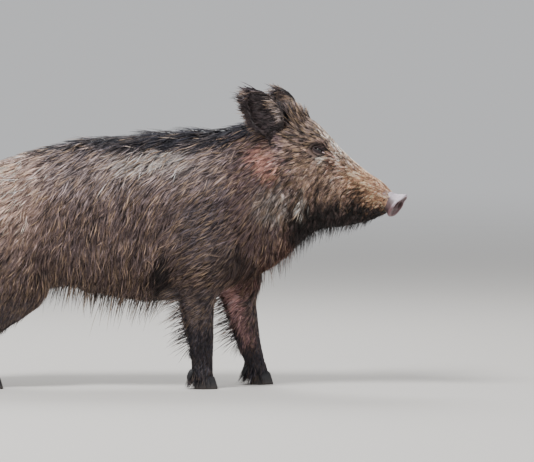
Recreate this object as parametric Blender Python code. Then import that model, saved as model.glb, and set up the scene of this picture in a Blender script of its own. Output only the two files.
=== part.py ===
"""Wild boar, a still life-size model that stands on its own feet.

+X points the way the body faces, +Y to the animal's left, +Z up, and the soles stand on z = 0.
The solids reach out to the tips of the coat.  The body is modelled whole, as lofts and swellings that
are fused into one skin, and is then parted into head, neck, trunk, legs and so on by thin saw cuts.
Lengths in the tables are millimetres on a boar whose withers stand WITHERS_MM high.
"""

import math

import bmesh
import bpy
import numpy as np
from mathutils import Matrix, Vector

# ---------------------------------------------------------------- driving dimensions
WITHERS = 0.680  # height of the coat over the shoulders, in metres
WITHERS_MM = 680.0  # the same height in the tables' own units
MM = WITHERS / WITHERS_MM

HEAD_TURN = math.radians(17)  # the head looks this far to the animal's right
NECK_BEND_FROM, NECK_BEND_TO = 150.0, 300.0  # stretch of the neck that makes the turn

SAW = 0.6  # width of the cuts that part the body
CLEARANCE = 0.35  # gap between an eyeball and its socket, and round each dewclaw
MERGE = 0.00003  # corners closer than this, in metres, are made one
FUSE_VOXEL = 7.0  # detail kept where the lofts are fused
BODY_TRIANGLES = 3900  # of the fused body, before it is cut
HEAD_EASE, HEAD_FACTOR = 0.9, 0.05  # the head's faces are thinned less readily than the rest

LEFT, RIGHT = 1, -1
SIDE_NAMES = {LEFT: "left", RIGHT: "right"}

# ---------------------------------------------------------------- the body's outline
# place: x, top of the outline, bottom, half width, squareness above and below (2 is an ellipse)
BODY = {
    "tail_root": (-606, 480, 400, 22, 2.0, 2.0),
    "buttock": (-584, 524, 356, 78, 2.0, 2.0),
    "croup": (-516, 572, 326, 122, 1.8, 2.0),
    "hip": (-450, 599, 297, 136, 1.8, 2.0),
    "flank": (-358, 630, 258, 138, 1.8, 2.1),
    "loin": (-266, 651, 248, 142, 1.8, 2.2),
    "ribs": (-161, 665, 236, 147, 1.8, 2.2),
    "girth": (-56, 676, 222, 146, 1.75, 2.2),
    "withers": (35, 681, 226, 140, 1.7, 2.1),
    "shoulder": (114, 683, 244, 131, 1.7, 2.0),
    "neck_base": (180, 698, 268, 118, 1.8, 1.9),
    "neck": (238, 717, 294, 103, 1.9, 1.8),
    "poll": (298, 734, 334, 92, 2.1, 1.8),
    "brow": (345, 724, 380, 84, 2.2, 1.9),
    "eye": (390, 688, 410, 71, 2.2, 2.0),
    "cheek": (437, 636, 416, 54, 2.2, 2.1),
    "muzzle": (490, 588, 429, 39, 2.2, 2.2),
    "snout": (537, 549, 441, 31, 2.1, 2.2),
    "lip": (566, 518, 455, 20, 2.0, 2.2),
}
RING_POINTS = 44
RING_STEP = 16.0

# Swellings under the coat: centre x, distance from the midline, z, then half sizes along x, y and z
SWELLINGS = {
    "shoulder_blade": (92, 78, 470, 98, 62, 150),
    "upper_arm": (112, 88, 330, 72, 50, 78),
    "haunch": (-478, 72, 420, 118, 68, 150),
    "cheek_muscle": (338, 34, 505, 62, 50, 78),
    "jowl": (330, 24, 440, 58, 44, 42),
    "brow_ridge": (392, 36, 640, 30, 24, 24),
}

# ---------------------------------------------------------------- the legs' outlines
# height: front edge, back edge, distance from the midline, half width
FORE_LEG = {
    454: (176, -6, 80, 46),
    389: (180, -4, 84, 50),
    320: (168, 4, 86, 46),
    270: (136, 9, 84, 41),
    231: (119, 17, 82, 37),
    192: (115, 26, 80, 34),
    152: (114, 37, 79, 31),
    113: (114, 45, 78, 27),
    74: (112, 50, 78, 24),
    42: (112, 51, 79, 26),
    21: (117, 50, 80, 30),
    -12: (126, 44, 81, 34),
}
HIND_LEG = {
    500: (-370, -586, 66, 56),
    454: (-330, -606, 72, 60),
    389: (-308, -618, 78, 60),
    323: (-304, -618, 82, 56),
    270: (-308, -608, 84, 50),
    236: (-322, -592, 84, 44),
    215: (-338, -576, 84, 40),
    192: (-370, -566, 83, 35),
    165: (-414, -560, 82, 31),
    139: (-452, -548, 80, 27),
    113: (-474, -538, 79, 25),
    74: (-464, -524, 78, 23),
    45: (-455, -518, 79, 26),
    21: (-443, -514, 80, 30),
    -12: (-432, -508, 81, 34),
}
LEG_POINTS = 28
LEG_STEP = 9.0

# How far each left leg stands ahead of the right one, at these heights (rows of height, shift)
FORE_SWING = ((-12, 150), (34, 144), (74, 133), (108, 123), (148, 117), (205, 111), (270, 105), (336, 74), (430, 0))
HIND_SWING = ((-12, -84), (118, -76), (200, -62), (300, -38), (400, -8), (450, 0))
STANCE = {
    ("fore", RIGHT): (FORE_LEG, ()),
    ("fore", LEFT): (FORE_LEG, FORE_SWING),
    ("hind", RIGHT): (HIND_LEG, ()),
    ("hind", LEFT): (HIND_LEG, HIND_SWING),
}

# ---------------------------------------------------------------- head, tail and feet
DISC_CENTRE = (602, 478)  # x and z of the middle of the nose disc
DISC_TILT = math.radians(31)  # the disc faces this far below level
# distance behind the disc's face: rise of the centre, half height, half width
SNOUT = {
    0: (1, 29, 25),
    -3: (1, 32, 28),
    -9: (1, 30, 27),
    -17: (-1, 26, 24.5),
    -36: (-2, 25, 25.5),
    -66: (-1, 28, 30),
    -100: (1, 31, 34),
}
NOSTRIL = (11.5, 1.0, 5.0, 7.0, 15.0)  # from the midline, above centre, half width, half height, depth

EYE_X, EYE_Z = 404.0, 626.0  # x along the head's midline, and height
EYE_RADIUS = 12.0
EYE_DEPTH = 4.0  # from the coat's surface to the front of the eyeball
ORBIT = (17.0, 11.0, 8.0)  # half length, half height and depth of the hollow that the eye looks out of

MOUTH_FRONT, MOUTH_CORNER = (572, 456), (462, 476)
JAW_REAR = (440, 408)  # the cut behind the jaw leaves the mouth's corner towards here

EAR_X, EAR_Z = 290.0, 668.0  # the middle of the ear's root on the side of the head
EAR_TIP = (-58, 36, 120)  # from the root: forward, outward, up
EAR_HALF_WIDTH, EAR_HOLLOW, EAR_THICK = 40.0, 22.0, 11.0
EAR_OPENS = math.radians(24)  # the hollow faces outward, turned this far to the front
EAR_CUT = 5.0  # the ear is parted from the head this far outside the head's surface

# Tail: x, z and radius down its length; it hangs a little to the left
TAIL = ((-585, 502, 19), (-618, 497, 17), (-641, 474, 15), (-648, 430, 13), (-650, 380, 13), (-650, 330, 10))
TAIL_CUT = ((-656, 500), (-616, 466))
TAIL_SWAY = 10.0
TAIL_POINTS = 14

CLAW_LENGTH, CLAW_WIDTH, CLAW_CLEFT = 63.0, 25.0, 3.5
CORONET_FRONT, CORONET_BACK = 33.0, 17.0  # heights of the claw's upper edge
DEWCLAW = (38.0, 10.0, 9.0, 17.0)  # height, half length, half width and half height of a dewclaw


# ---------------------------------------------------------------- materials
def material(name, colour, roughness):
    """A Principled material of one colour, roughness and no metal."""
    made = bpy.data.materials.new(name)
    made.use_nodes = True
    shader = made.node_tree.nodes["Principled BSDF"]
    shader.inputs["Base Color"].default_value = (*colour, 1)
    shader.inputs["Roughness"].default_value = roughness
    shader.inputs["Metallic"].default_value = 0
    made.diffuse_color = (*colour, 1)
    return made


# ---------------------------------------------------------------- curves and meshes
def smooth_through(places, step):
    """Rows between the given rows (first column increasing), on a cubic through them."""
    rows = np.array(sorted(places), float)
    at = rows[:, 0]
    slope = np.gradient(rows, at, axis=0)
    count = max(2, int(round((at[-1] - at[0]) / step)) + 1)
    wanted = np.linspace(at[0], at[-1], count)
    low = np.clip(np.searchsorted(at, wanted, side="right") - 1, 0, len(at) - 2)
    gap = (at[low + 1] - at[low])[:, None]
    t = (wanted - at[low])[:, None] / gap
    return (
        rows[low] * (2 * t**3 - 3 * t**2 + 1)
        + slope[low] * gap * (t**3 - 2 * t**2 + t)
        + rows[low + 1] * (3 * t**2 - 2 * t**3)
        + slope[low + 1] * gap * (t**3 - t**2)
    )


def tube_mesh(rings):
    """A bmesh skin over rings (count, points, 3), with a ladder of faces across each end."""
    bm = bmesh.new()
    points = rings.shape[1]
    loops = [[bm.verts.new(Vector(p) * MM) for p in ring] for ring in rings]
    for one, two in zip(loops, loops[1:]):
        for i in range(points):
            j = (i + 1) % points
            bm.faces.new((one[i], one[j], two[j], two[i]))
    for loop in (loops[0], loops[-1]):
        for i in range(points // 2 - 1):
            bm.faces.new((loop[i], loop[i + 1], loop[points - 2 - i], loop[points - 1 - i]))
    bmesh.ops.recalc_face_normals(bm, faces=bm.faces)
    return bm


def ball_mesh(half_sizes, matrix, detail=3):
    """A bmesh ellipsoid of these half sizes, placed by the matrix (millimetres)."""
    bm = bmesh.new()
    bmesh.ops.create_icosphere(bm, subdivisions=detail, radius=1)
    stretch = Matrix.Diagonal((*half_sizes, 1))
    bmesh.ops.transform(bm, matrix=Matrix.Scale(MM, 4) @ matrix @ stretch, verts=bm.verts)
    return bm


def slab_mesh(centre, normal, across, length, width, thick=SAW):
    """A bmesh saw cut: a thin box at centre, `length` long along `across` and `width` wide (millimetres)."""
    normal = Vector(normal).normalized()
    along = Vector(across)
    along = (along - normal * along.dot(normal)).normalized()
    matrix = Matrix((along, normal.cross(along), normal)).transposed().to_4x4()
    matrix.translation = Vector(centre)
    bm = bmesh.new()
    bmesh.ops.create_cube(bm, size=1)
    stretch = Matrix.Diagonal((length, width, thick, 1))
    bmesh.ops.transform(bm, matrix=Matrix.Scale(MM, 4) @ matrix @ stretch, verts=bm.verts)
    bmesh.ops.recalc_face_normals(bm, faces=bm.faces)
    return bm


def object_of(name, *meshes):
    """One object that holds all the bmeshes."""
    joined = bmesh.new()
    for bm in meshes:
        part = bpy.data.meshes.new("part")
        bm.to_mesh(part)
        joined.from_mesh(part)
        bpy.data.meshes.remove(part)
        bm.free()
    mesh = bpy.data.meshes.new(name)
    joined.to_mesh(mesh)
    joined.free()
    obj = bpy.data.objects.new(name, mesh)
    bpy.context.scene.collection.objects.link(obj)
    return obj


def apply_modifiers(obj):
    """Makes the mesh what its modifiers show, and removes them."""
    bpy.context.view_layer.update()
    graph = bpy.context.evaluated_depsgraph_get()
    mesh = bpy.data.meshes.new_from_object(obj.evaluated_get(graph))
    obj.modifiers.clear()
    obj.data = mesh


def boolean(obj, operation, *others):
    """Cuts or joins obj with the other objects, which are then removed, and drops needle-thin faces."""
    for other in others:
        modifier = obj.modifiers.new("boolean", "BOOLEAN")
        modifier.operation = operation
        modifier.object = other
        apply_modifiers(obj)
        bpy.data.objects.remove(other)
        bm = bmesh.new()
        bm.from_mesh(obj.data)
        bmesh.ops.remove_doubles(bm, verts=bm.verts, dist=MERGE)
        bmesh.ops.dissolve_degenerate(bm, edges=bm.edges, dist=MERGE)
        bmesh.ops.triangulate(bm, faces=bm.faces)
        bm.to_mesh(obj.data)
        bm.free()


# ---------------------------------------------------------------- the bend of the neck
def yaw_at(x):
    """How far the body's midline has turned to the right at this x."""
    t = np.clip((x - NECK_BEND_FROM) / (NECK_BEND_TO - NECK_BEND_FROM), 0, 1)
    return HEAD_TURN * t * t * (3 - 2 * t)


def midline_y(x):
    """Where the midline runs, worked out by adding up the turn along x."""
    steps = np.linspace(NECK_BEND_FROM, max(float(x), NECK_BEND_FROM + 1e-3), 60)
    return -float(np.trapz(np.tan(yaw_at(steps)), steps))


def placed(x, side, z):
    """The point that lies `side` to the left of the midline at x."""
    turn = float(yaw_at(x))
    return Vector((x + side * math.sin(turn), midline_y(x) + side * math.cos(turn), z))


# ---------------------------------------------------------------- the lofts
def body_rows():
    return smooth_through(BODY.values(), RING_STEP)


def body_loft():
    """Upright rings from rump to lips.  A ring is an ellipse whose squareness may differ above and below."""
    angles = np.linspace(0, 2 * math.pi, RING_POINTS, endpoint=False)
    rings = []
    for x, top, bottom, half, above, below in body_rows():
        power = np.where(np.sin(angles) > 0, 2 / above, 2 / below)
        across = half * np.sign(np.cos(angles)) * np.abs(np.cos(angles)) ** power
        level = np.sign(np.sin(angles)) * np.abs(np.sin(angles)) ** power
        height = (top + bottom) / 2 + (top - bottom) / 2 * level
        rings.append([placed(x, s, z) for s, z in zip(across, height)])
    return tube_mesh(np.array(rings))


def skin_point(station, z, side):
    """The point of the body loft's surface beside the midline's station x, and the way out of it."""
    rows = body_rows()

    def surface(at_x, at_z):
        _, top, bottom, half, above, below = (np.interp(at_x, rows[:, 0], column) for column in rows.T)
        level = (at_z - (top + bottom) / 2) / ((top - bottom) / 2)
        square = above if level > 0 else below
        return half * (1 - min(1, abs(level)) ** square) ** (1 / square)

    point = placed(station, side * surface(station, z), z)
    forward = placed(station + 5, side * surface(station + 5, z), z) - point
    upward = placed(station, side * surface(station, z + 5), z + 5) - point
    outward = forward.cross(upward).normalized()
    if outward.y * side < 0:
        outward.negate()
    return point, outward


def leg_loft(pair, side):
    """Level rings down a leg."""
    angles = np.linspace(0, 2 * math.pi, LEG_POINTS, endpoint=False)
    heights = list(STANCE[pair, side][0])
    count = int((max(heights) - min(heights)) / LEG_STEP)
    rings = []
    for z in np.linspace(min(heights), max(heights), count):
        front, back, offset, half = leg_at(pair, side, z)
        x = (front + back) / 2 + (front - back) / 2 * np.cos(angles)
        y = side * offset + half * np.sin(angles)
        rings.append(np.stack([x, y, np.full_like(x, z)], axis=1))
    return tube_mesh(np.array(rings))


def swing_at(z, swing):
    """How far the leg is carried forward at this height, on a straight line between the given rows."""
    if not swing:
        return 0.0
    heights, shifts = zip(*swing)
    return float(np.interp(z, heights, shifts))


def leg_at(pair, side, z):
    """Front, back, distance from the midline and half width of the leg at this height."""
    outline, swing = STANCE[pair, side]
    rows = smooth_through([(height, *row) for height, row in outline.items()], LEG_STEP)
    front, back, offset, half = (float(np.interp(z, rows[:, 0], rows[:, i])) for i in (1, 2, 3, 4))
    shift = swing_at(z, swing)
    return front + shift, back + shift, offset, half


def snout_frame():
    """The nose disc's place: along its facing, to the left and up its face."""
    turn = Matrix.Rotation(-HEAD_TURN, 4, "Z")
    tip = Matrix.Rotation(DISC_TILT, 4, "Y")
    x, z = DISC_CENTRE
    return Matrix.Translation(placed(x, 0, z)) @ turn @ tip


def snout_loft():
    """Rings behind the nose disc: a flared rim, a narrow collar, then the muzzle."""
    frame = snout_frame()
    angles = np.linspace(0, 2 * math.pi, LEG_POINTS, endpoint=False)
    rings = []
    for back, (rise, half_height, half_width) in sorted(SNOUT.items()):
        wide = half_width * np.cos(angles)
        tall = rise + half_height * np.sin(angles)
        rings.append([frame @ Vector((back, w, t)) for w, t in zip(wide, tall)])
    return tube_mesh(np.array(rings))


def tail_loft():
    """A round tail that hangs behind the buttocks."""
    angles = np.linspace(0, 2 * math.pi, TAIL_POINTS, endpoint=False)
    path = np.array([(x, TAIL_SWAY * i / len(TAIL), z) for i, (x, z, _) in enumerate(TAIL)])
    along = np.gradient(path, axis=0)
    along /= np.linalg.norm(along, axis=1)[:, None]
    rings = []
    for centre, way, (_, _, radius) in zip(path, along, TAIL):
        aside = np.array((0.0, 1.0, 0.0))
        ahead = np.cross(way, aside)
        rings.append(centre + radius * (np.outer(np.cos(angles), aside) + np.outer(np.sin(angles), ahead)))
    return tube_mesh(np.array(rings))


def ear_frame(side):
    """The ear's root, its way to the tip, and its width and outward directions."""
    root, _ = skin_point(EAR_X, EAR_Z, side)
    turn = Matrix.Rotation(-HEAD_TURN, 3, "Z")
    ahead, outward, up = EAR_TIP
    tip = turn @ Vector((ahead, side * outward, up))
    axis = tip.normalized()
    facing = turn @ Vector((math.sin(EAR_OPENS), side * math.cos(EAR_OPENS), 0))
    facing = (facing - axis * facing.dot(axis)).normalized()
    return root, axis, facing.cross(axis), facing, tip.length


def ear_loft(side):
    """A pointed leaf with crescent sections: hollow on its outer face, thin at its rims."""
    root, axis, chord, facing, length = ear_frame(side)
    across = np.linspace(-1, 1, 7)
    rings = []
    for v in np.linspace(-0.22, 1, 10):
        open_share = max(v, 0)
        swelling = 0.82 + 0.23 * math.sin(math.pi * min(0.5, open_share * 1.1))
        half = EAR_HALF_WIDTH * max(0.2, swelling * (1 - open_share**2.6) ** 0.62)
        curl = EAR_HOLLOW * (1 - 0.6 * open_share) * (half / EAR_HALF_WIDTH) * (across**2 - 0.5)
        thick = EAR_THICK * (1 - 0.35 * open_share) * np.sqrt(1 - 0.9 * across**2) / 2
        front = [(half * u, c + t) for u, c, t in zip(across, curl, thick)]
        back = [(half * u, c - t) for u, c, t in zip(across, curl, thick)]
        rings.append([root + axis * (length * v) + chord * u + facing * w for u, w in front + back[::-1]])
    return tube_mesh(np.array(rings))


# ---------------------------------------------------------------- the fused body
def fused_body():
    """Lofts and swellings made one skin, softened, and thinned to BODY_TRIANGLES with more kept on the head."""
    shapes = [body_loft(), snout_loft()]
    for x, aside, z, along, wide, tall in SWELLINGS.values():
        for side in (LEFT, RIGHT):
            turn = Matrix.Rotation(-float(yaw_at(x)), 4, "Z")
            place = Matrix.Translation(placed(x, side * aside, z)) @ turn
            shapes.append(ball_mesh((along, wide, tall), place))
    shapes += [leg_loft(pair, side) for pair, side in STANCE]
    body = object_of("body", *shapes)
    fuse = body.modifiers.new("fuse", "REMESH")
    fuse.mode = "VOXEL"
    fuse.voxel_size = FUSE_VOXEL * MM
    soften = body.modifiers.new("soften", "SMOOTH")
    soften.factor = 0.5
    soften.iterations = 6
    apply_modifiers(body)

    ease = body.vertex_groups.new(name="ease_of_thinning")
    for vert in body.data.vertices:
        on_head = vert.co.x > BODY["poll"][0] * MM
        ease.add([vert.index], HEAD_EASE if on_head else 1.0, "REPLACE")
    thin = body.modifiers.new("thin", "DECIMATE")
    thin.ratio = BODY_TRIANGLES / (2 * len(body.data.polygons))
    thin.vertex_group = ease.name
    thin.vertex_group_factor = HEAD_FACTOR
    apply_modifiers(body)
    body.vertex_groups.clear()
    return body


# ---------------------------------------------------------------- cuts
def plane_cut(low, high, half_width, middle=0.0):
    """A saw cut through the body from low to high, each (x, z), across the midline."""
    (x1, z1), (x2, z2) = low, high
    across = Vector((x2 - x1, 0, z2 - z1))
    normal = Vector((across.z, 0, -across.x))
    centre = Vector(((x1 + x2) / 2, middle, (z1 + z2) / 2))
    return slab_mesh(centre, normal, across, across.length, 2 * half_width)


def beyond(start, end, extra):
    """The point that lies `extra` past the end of the line from start to end, each (x, z)."""
    start, end = Vector(start), Vector(end)
    return tuple(end + (end - start).normalized() * extra)


def turned_cut(low, high, half_width):
    """As plane_cut, square to the turned head."""
    (x1, z1), (x2, z2) = low, high
    aside = Matrix.Rotation(-HEAD_TURN, 3, "Z") @ Vector((0, 1, 0))
    centre = placed((x1 + x2) / 2, 0, (z1 + z2) / 2)
    across = Vector((x2 - x1, -(x2 - x1) * math.tan(HEAD_TURN), z2 - z1))
    return slab_mesh(centre, across.cross(aside), across, across.length, 2 * half_width)


def leg_cut(pair, side, height_front, height_back, margin=28.0):
    """A saw cut through one leg, which may slope from front to back."""
    middle = (height_front + height_back) / 2
    front, back, offset, _ = leg_at(pair, side, middle)
    across = Vector((front - back, 0, height_front - height_back))
    centre = Vector(((front + back) / 2, side * offset, middle))
    normal = Vector((-across.z, 0, across.x))
    return slab_mesh(centre, normal, across, across.length + 2 * margin, 2 * offset - 4)


def all_cuts():
    """Every saw cut.  The mouth's and the jaw's meet at the corner, so that the lower jaw comes free."""
    cuts = [
        plane_cut((285, 270), (112, 790), 230),  # trunk from neck
        turned_cut((362, 330), (116, 804), 200),  # neck from head
        turned_cut(beyond(MOUTH_FRONT, MOUTH_CORNER, 1), beyond(MOUTH_CORNER, MOUTH_FRONT, 40), 90),
        turned_cut(beyond(MOUTH_CORNER, JAW_REAR, 60), beyond(JAW_REAR, MOUTH_CORNER, 1), 90),
        plane_cut(*TAIL_CUT, 34),
    ]
    frame = snout_frame()
    behind = frame @ Vector((-19, 0, 0))
    facing = frame.to_3x3() @ Vector((1, 0, 0))
    cuts.append(slab_mesh(behind, facing, frame.to_3x3() @ Vector((0, 0, 1)), 92, 92))
    for side in (LEFT, RIGHT):
        root, outward = skin_point(EAR_X, EAR_Z, side)
        cuts.append(slab_mesh(root + outward * EAR_CUT, outward, (1, 0, 0), 150, 110))
        cuts.append(leg_cut("fore", side, 218, 218))
        cuts.append(leg_cut("fore", side, 112, 112))
        cuts.append(leg_cut("hind", side, 226, 252))
        cuts.append(leg_cut("hind", side, 118, 118))
        for pair in ("fore", "hind"):
            cuts.append(leg_cut(pair, side, CORONET_FRONT, CORONET_BACK))
    return cuts


def hollows():
    """The eye sockets with the hollows in front of them, and the nostrils."""
    made = []
    for side in (LEFT, RIGHT):
        point, outward = skin_point(EYE_X, EYE_Z, side)
        made.append(eye_ball(side, EYE_RADIUS + CLEARANCE))
        half_length, half_height, depth = ORBIT
        along = Vector((0, 0, 1)).cross(outward).normalized()
        up = outward.cross(along)
        matrix = Matrix((along, up, outward)).transposed().to_4x4()
        matrix.translation = point
        slant = Matrix.Rotation(math.radians(-12 * side), 4, "Z")
        made.append(ball_mesh((half_length, half_height, depth), matrix @ slant, detail=2))
    aside, above, half_width, half_height, depth = NOSTRIL
    for side in (LEFT, RIGHT):
        place = snout_frame() @ Matrix.Translation((0, side * aside, above))
        made.append(ball_mesh((depth, half_width, half_height), place, detail=2))
    return made


def eye_ball(side, radius):
    point, outward = skin_point(EYE_X, EYE_Z, side)
    return ball_mesh((radius,) * 3, Matrix.Translation(point - outward * (EYE_DEPTH + EYE_RADIUS)))


# ---------------------------------------------------------------- feet
def claw_mesh(pair, side, inner):
    """One claw: straight along the cleft, curved outside, its toe rounded, its wall flaring to a flat sole."""
    front, back, offset, _ = leg_at(pair, side, (CORONET_FRONT + CORONET_BACK) / 2)
    toe, heel = front + 7, front + 7 - CLAW_LENGTH
    cleft = CLAW_CLEFT / 2
    profile = []  # (share of the length from heel to toe, share of the width) along the outer side
    for i in range(9):
        t = i / 8
        profile.append((0.5 - 0.5 * math.cos(math.pi * t), (math.sin(math.pi * min(1, 0.16 + 0.84 * t)) ** 0.55)))
    levels = ((0.0, 1.0, 1.0), (0.45, 0.97, 0.95), (1.0, 0.84, 0.86))  # height, width and length shares
    bm = bmesh.new()
    loops = []
    for up, widths, lengths in levels:
        loop = []
        for share, wide in [(0.0, 0.0), *profile, (1.0, 0.0)]:
            x = heel + 4 * up + (toe - heel - 4 * up) * share * lengths
            height = CORONET_BACK + (CORONET_FRONT - CORONET_BACK) * (x - back) / (front - back)
            z = up * (height - SAW)
            y = cleft + CLAW_WIDTH * wide * widths
            loop.append(bm.verts.new(Vector((x, side * offset + (y if inner else -y), z)) * MM))
        loops.append(loop)
    for one, two in zip(loops, loops[1:]):
        for i in range(len(one)):
            j = (i + 1) % len(one)
            bm.faces.new((one[i], one[j], two[j], two[i]))
    bm.faces.new(loops[0])
    bm.faces.new(loops[-1])
    bmesh.ops.remove_doubles(bm, verts=bm.verts, dist=0.0001)
    bmesh.ops.recalc_face_normals(bm, faces=bm.faces)
    return bm


def dewclaw(name, pair, side, inner, leg):
    """A small claw behind the pastern, hollowed to fit the leg with a thin gap."""
    height, half_length, half_width, half_height = DEWCLAW
    _, back, offset, half = leg_at(pair, side, height)
    aside = side * offset + (1 if inner else -1) * half * 0.56
    lean = Matrix.Rotation(math.radians(24), 4, "Y")
    place = Matrix.Translation((back + 1, aside, height)) @ lean
    claw = object_of(name, ball_mesh((half_length, half_width, half_height), place, detail=1))
    grown = bpy.data.objects.new("grown_leg", leg.data.copy())
    bpy.context.scene.collection.objects.link(grown)
    swell = grown.modifiers.new("swell", "DISPLACE")
    swell.strength = CLEARANCE * MM
    swell.mid_level = 0
    apply_modifiers(grown)
    boolean(claw, "DIFFERENCE", grown)
    return claw


# ---------------------------------------------------------------- parting the body into nodes
def node_seeds():
    """A point inside each piece that the cuts leave, by the piece's name."""
    seeds = {
        "trunk": Vector((-200, 0, 450)),
        "neck": placed(230, 0, 520),
        "head": placed(400, 0, 560),
        "lower_jaw": placed(510, 0, 452),
        "snout": snout_frame() @ Vector((-10, 0, 0)),
        "tail": Vector((-640, 6, 390)),
    }
    for side in (LEFT, RIGHT):
        root, axis, _, _, length = ear_frame(side)
        seeds["ear_" + SIDE_NAMES[side]] = root + axis * length * 0.5
        for pair in ("fore", "hind"):
            for what, z in (("leg", 165), ("foot", 70), ("waste", 4)):
                front, back, offset, _ = leg_at(pair, side, z)
                seeds[f"{pair}_{what}_{SIDE_NAMES[side]}"] = Vector(((front + back) / 2, side * offset, z))
    return {name: point * MM for name, point in seeds.items()}


def part_body(body):
    """Splits the sawn body into loose pieces, and names each by the nearest seed point."""
    bm = bmesh.new()
    bm.from_mesh(body.data)
    bm.verts.ensure_lookup_table()
    seen, groups = set(), []
    for start in bm.verts:
        if start.index in seen:
            continue
        stack, group = [start], []
        seen.add(start.index)
        while stack:
            vert = stack.pop()
            group.append(vert.index)
            for edge in vert.link_edges:
                other = edge.other_vert(vert)
                if other.index not in seen:
                    seen.add(other.index)
                    stack.append(other)
        groups.append(set(group))
    bm.free()
    seeds = node_seeds()
    pieces = {}
    for group in groups:
        corners = np.array([body.data.vertices[i].co for i in group])
        centre = Vector((corners.max(axis=0) + corners.min(axis=0)) / 2)
        name = min(seeds, key=lambda n: (seeds[n] - centre).length)
        pieces.setdefault(name, []).append(group)
    objects = {}
    for name, members in pieces.items():
        if "waste" in name:
            continue
        keep = max(members, key=len)
        piece = bpy.data.objects.new(name, body.data.copy())
        bpy.context.scene.collection.objects.link(piece)
        bm = bmesh.new()
        bm.from_mesh(piece.data)
        bmesh.ops.delete(bm, geom=[v for v in bm.verts if v.index not in keep], context="VERTS")
        bm.to_mesh(piece.data)
        bm.free()
        objects[name] = piece
    bpy.data.objects.remove(body)
    return objects


# ---------------------------------------------------------------- the whole boar
def build():
    for obj in list(bpy.data.objects):
        bpy.data.objects.remove(obj)

    coat = material("coat", (0.16, 0.13, 0.11), 0.75)
    nose = material("nose_skin", (0.42, 0.34, 0.35), 0.45)
    eye = material("eye", (0.02, 0.014, 0.012), 0.08)
    horn = material("claw_horn", (0.045, 0.04, 0.04), 0.5)

    body = fused_body()
    boolean(body, "UNION", *(object_of("loft", bm) for bm in (ear_loft(LEFT), ear_loft(RIGHT), tail_loft())))
    boolean(body, "DIFFERENCE", *(object_of("hollow", bm) for bm in hollows()))
    boolean(body, "DIFFERENCE", *(object_of("cut", bm) for bm in all_cuts()))

    nodes = part_body(body)
    for name, obj in nodes.items():
        obj.data.materials.clear()
        obj.data.materials.append(nose if name == "snout" else coat)

    for side in (LEFT, RIGHT):
        ball = object_of("eye_" + SIDE_NAMES[side], eye_ball(side, EYE_RADIUS))
        ball.data.materials.append(eye)
        for pair in ("fore", "hind"):
            for where, inner in (("left", True), ("right", False)):
                ending = f"{pair}_{SIDE_NAMES[side]}_{where}"
                claw = object_of("claw_" + ending, claw_mesh(pair, side, inner))
                claw.data.materials.append(horn)
                small = dewclaw("dewclaw_" + ending, pair, side, inner, nodes[f"{pair}_foot_{SIDE_NAMES[side]}"])
                small.data.materials.clear()
                small.data.materials.append(horn)
    centre_on_origin()


def centre_on_origin():
    """Moves everything level so that the origin lies under the middle of the whole."""
    objects = list(bpy.data.objects)
    corners = np.array([vert.co for obj in objects for vert in obj.data.vertices])
    middle = (corners.max(axis=0) + corners.min(axis=0)) / 2
    for obj in objects:
        obj.data.transform(Matrix.Translation((-middle[0], -middle[1], 0)))


build()
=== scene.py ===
"""A wild boar, standing, life size.

Metres, +Z up, the body along X with the head towards +X and turned a little to the animal's right.
"""

import math

import bmesh
import bpy
import numpy as np
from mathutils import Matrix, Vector
from mathutils.bvhtree import BVHTree


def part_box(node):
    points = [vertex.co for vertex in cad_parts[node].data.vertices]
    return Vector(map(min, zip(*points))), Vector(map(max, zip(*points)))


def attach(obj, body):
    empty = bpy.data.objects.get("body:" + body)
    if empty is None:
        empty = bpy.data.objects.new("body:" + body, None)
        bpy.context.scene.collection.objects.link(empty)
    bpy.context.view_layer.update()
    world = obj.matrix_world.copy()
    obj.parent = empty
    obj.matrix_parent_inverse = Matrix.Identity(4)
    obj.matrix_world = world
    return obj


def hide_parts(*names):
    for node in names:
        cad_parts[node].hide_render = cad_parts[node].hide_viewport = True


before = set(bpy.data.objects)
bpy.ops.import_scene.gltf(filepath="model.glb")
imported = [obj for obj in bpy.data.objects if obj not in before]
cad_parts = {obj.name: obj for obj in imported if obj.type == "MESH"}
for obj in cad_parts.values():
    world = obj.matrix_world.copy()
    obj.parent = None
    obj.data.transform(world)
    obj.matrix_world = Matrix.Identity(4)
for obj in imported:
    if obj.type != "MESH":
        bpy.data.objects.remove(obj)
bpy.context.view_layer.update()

# ---------------------------------------------------------------- the hide
# Tough skin in one piece from the lips to the tail and down to the coronets.  It takes the place of all
# the solids of flesh, and lies inside them by the depth of the coat that grows from it.
FLESH = ["trunk", "neck", "head", "lower_jaw", "snout", "tail"]
LIMBS = ("fore_leg", "fore_foot", "hind_leg", "hind_foot")
FLESH += [f"{limb}_{side}" for limb in LIMBS for side in ("left", "right")]
HIDE_GRAIN = 0.0066  # spacing of the hide's points on the trunk
CUT_CLOSING = 0.0006  # the solids grow by this, so that the cuts between them close

SHIFT = 23.4  # mm from the middle of the body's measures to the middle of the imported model
HEAD_TURN = math.radians(17)
TURN_FROM, TURN_TO = 150.0, 300.0  # stations, in mm, between which the neck bends

# Station: height of the coat along the back, and of the belly or jaw (mm)
OUTLINE = np.array([
    (-606, 480, 400), (-584, 524, 356), (-516, 572, 326), (-450, 599, 297), (-358, 630, 258), (-266, 651, 248),
    (-161, 665, 236), (-56, 676, 222), (35, 681, 226), (114, 683, 244), (180, 698, 268), (238, 717, 294),
    (298, 734, 334), (345, 724, 380), (390, 688, 410), (437, 636, 416), (490, 588, 429), (537, 549, 441),
    (566, 518, 455),
], float)


def ease(value, start, end):
    """0 before start, 1 after end, and the cubic 3t^2 - 2t^3 between them; start may be the larger."""
    t = np.clip((value - start) / (end - start), 0, 1)
    return t * t * (3 - 2 * t)


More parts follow.
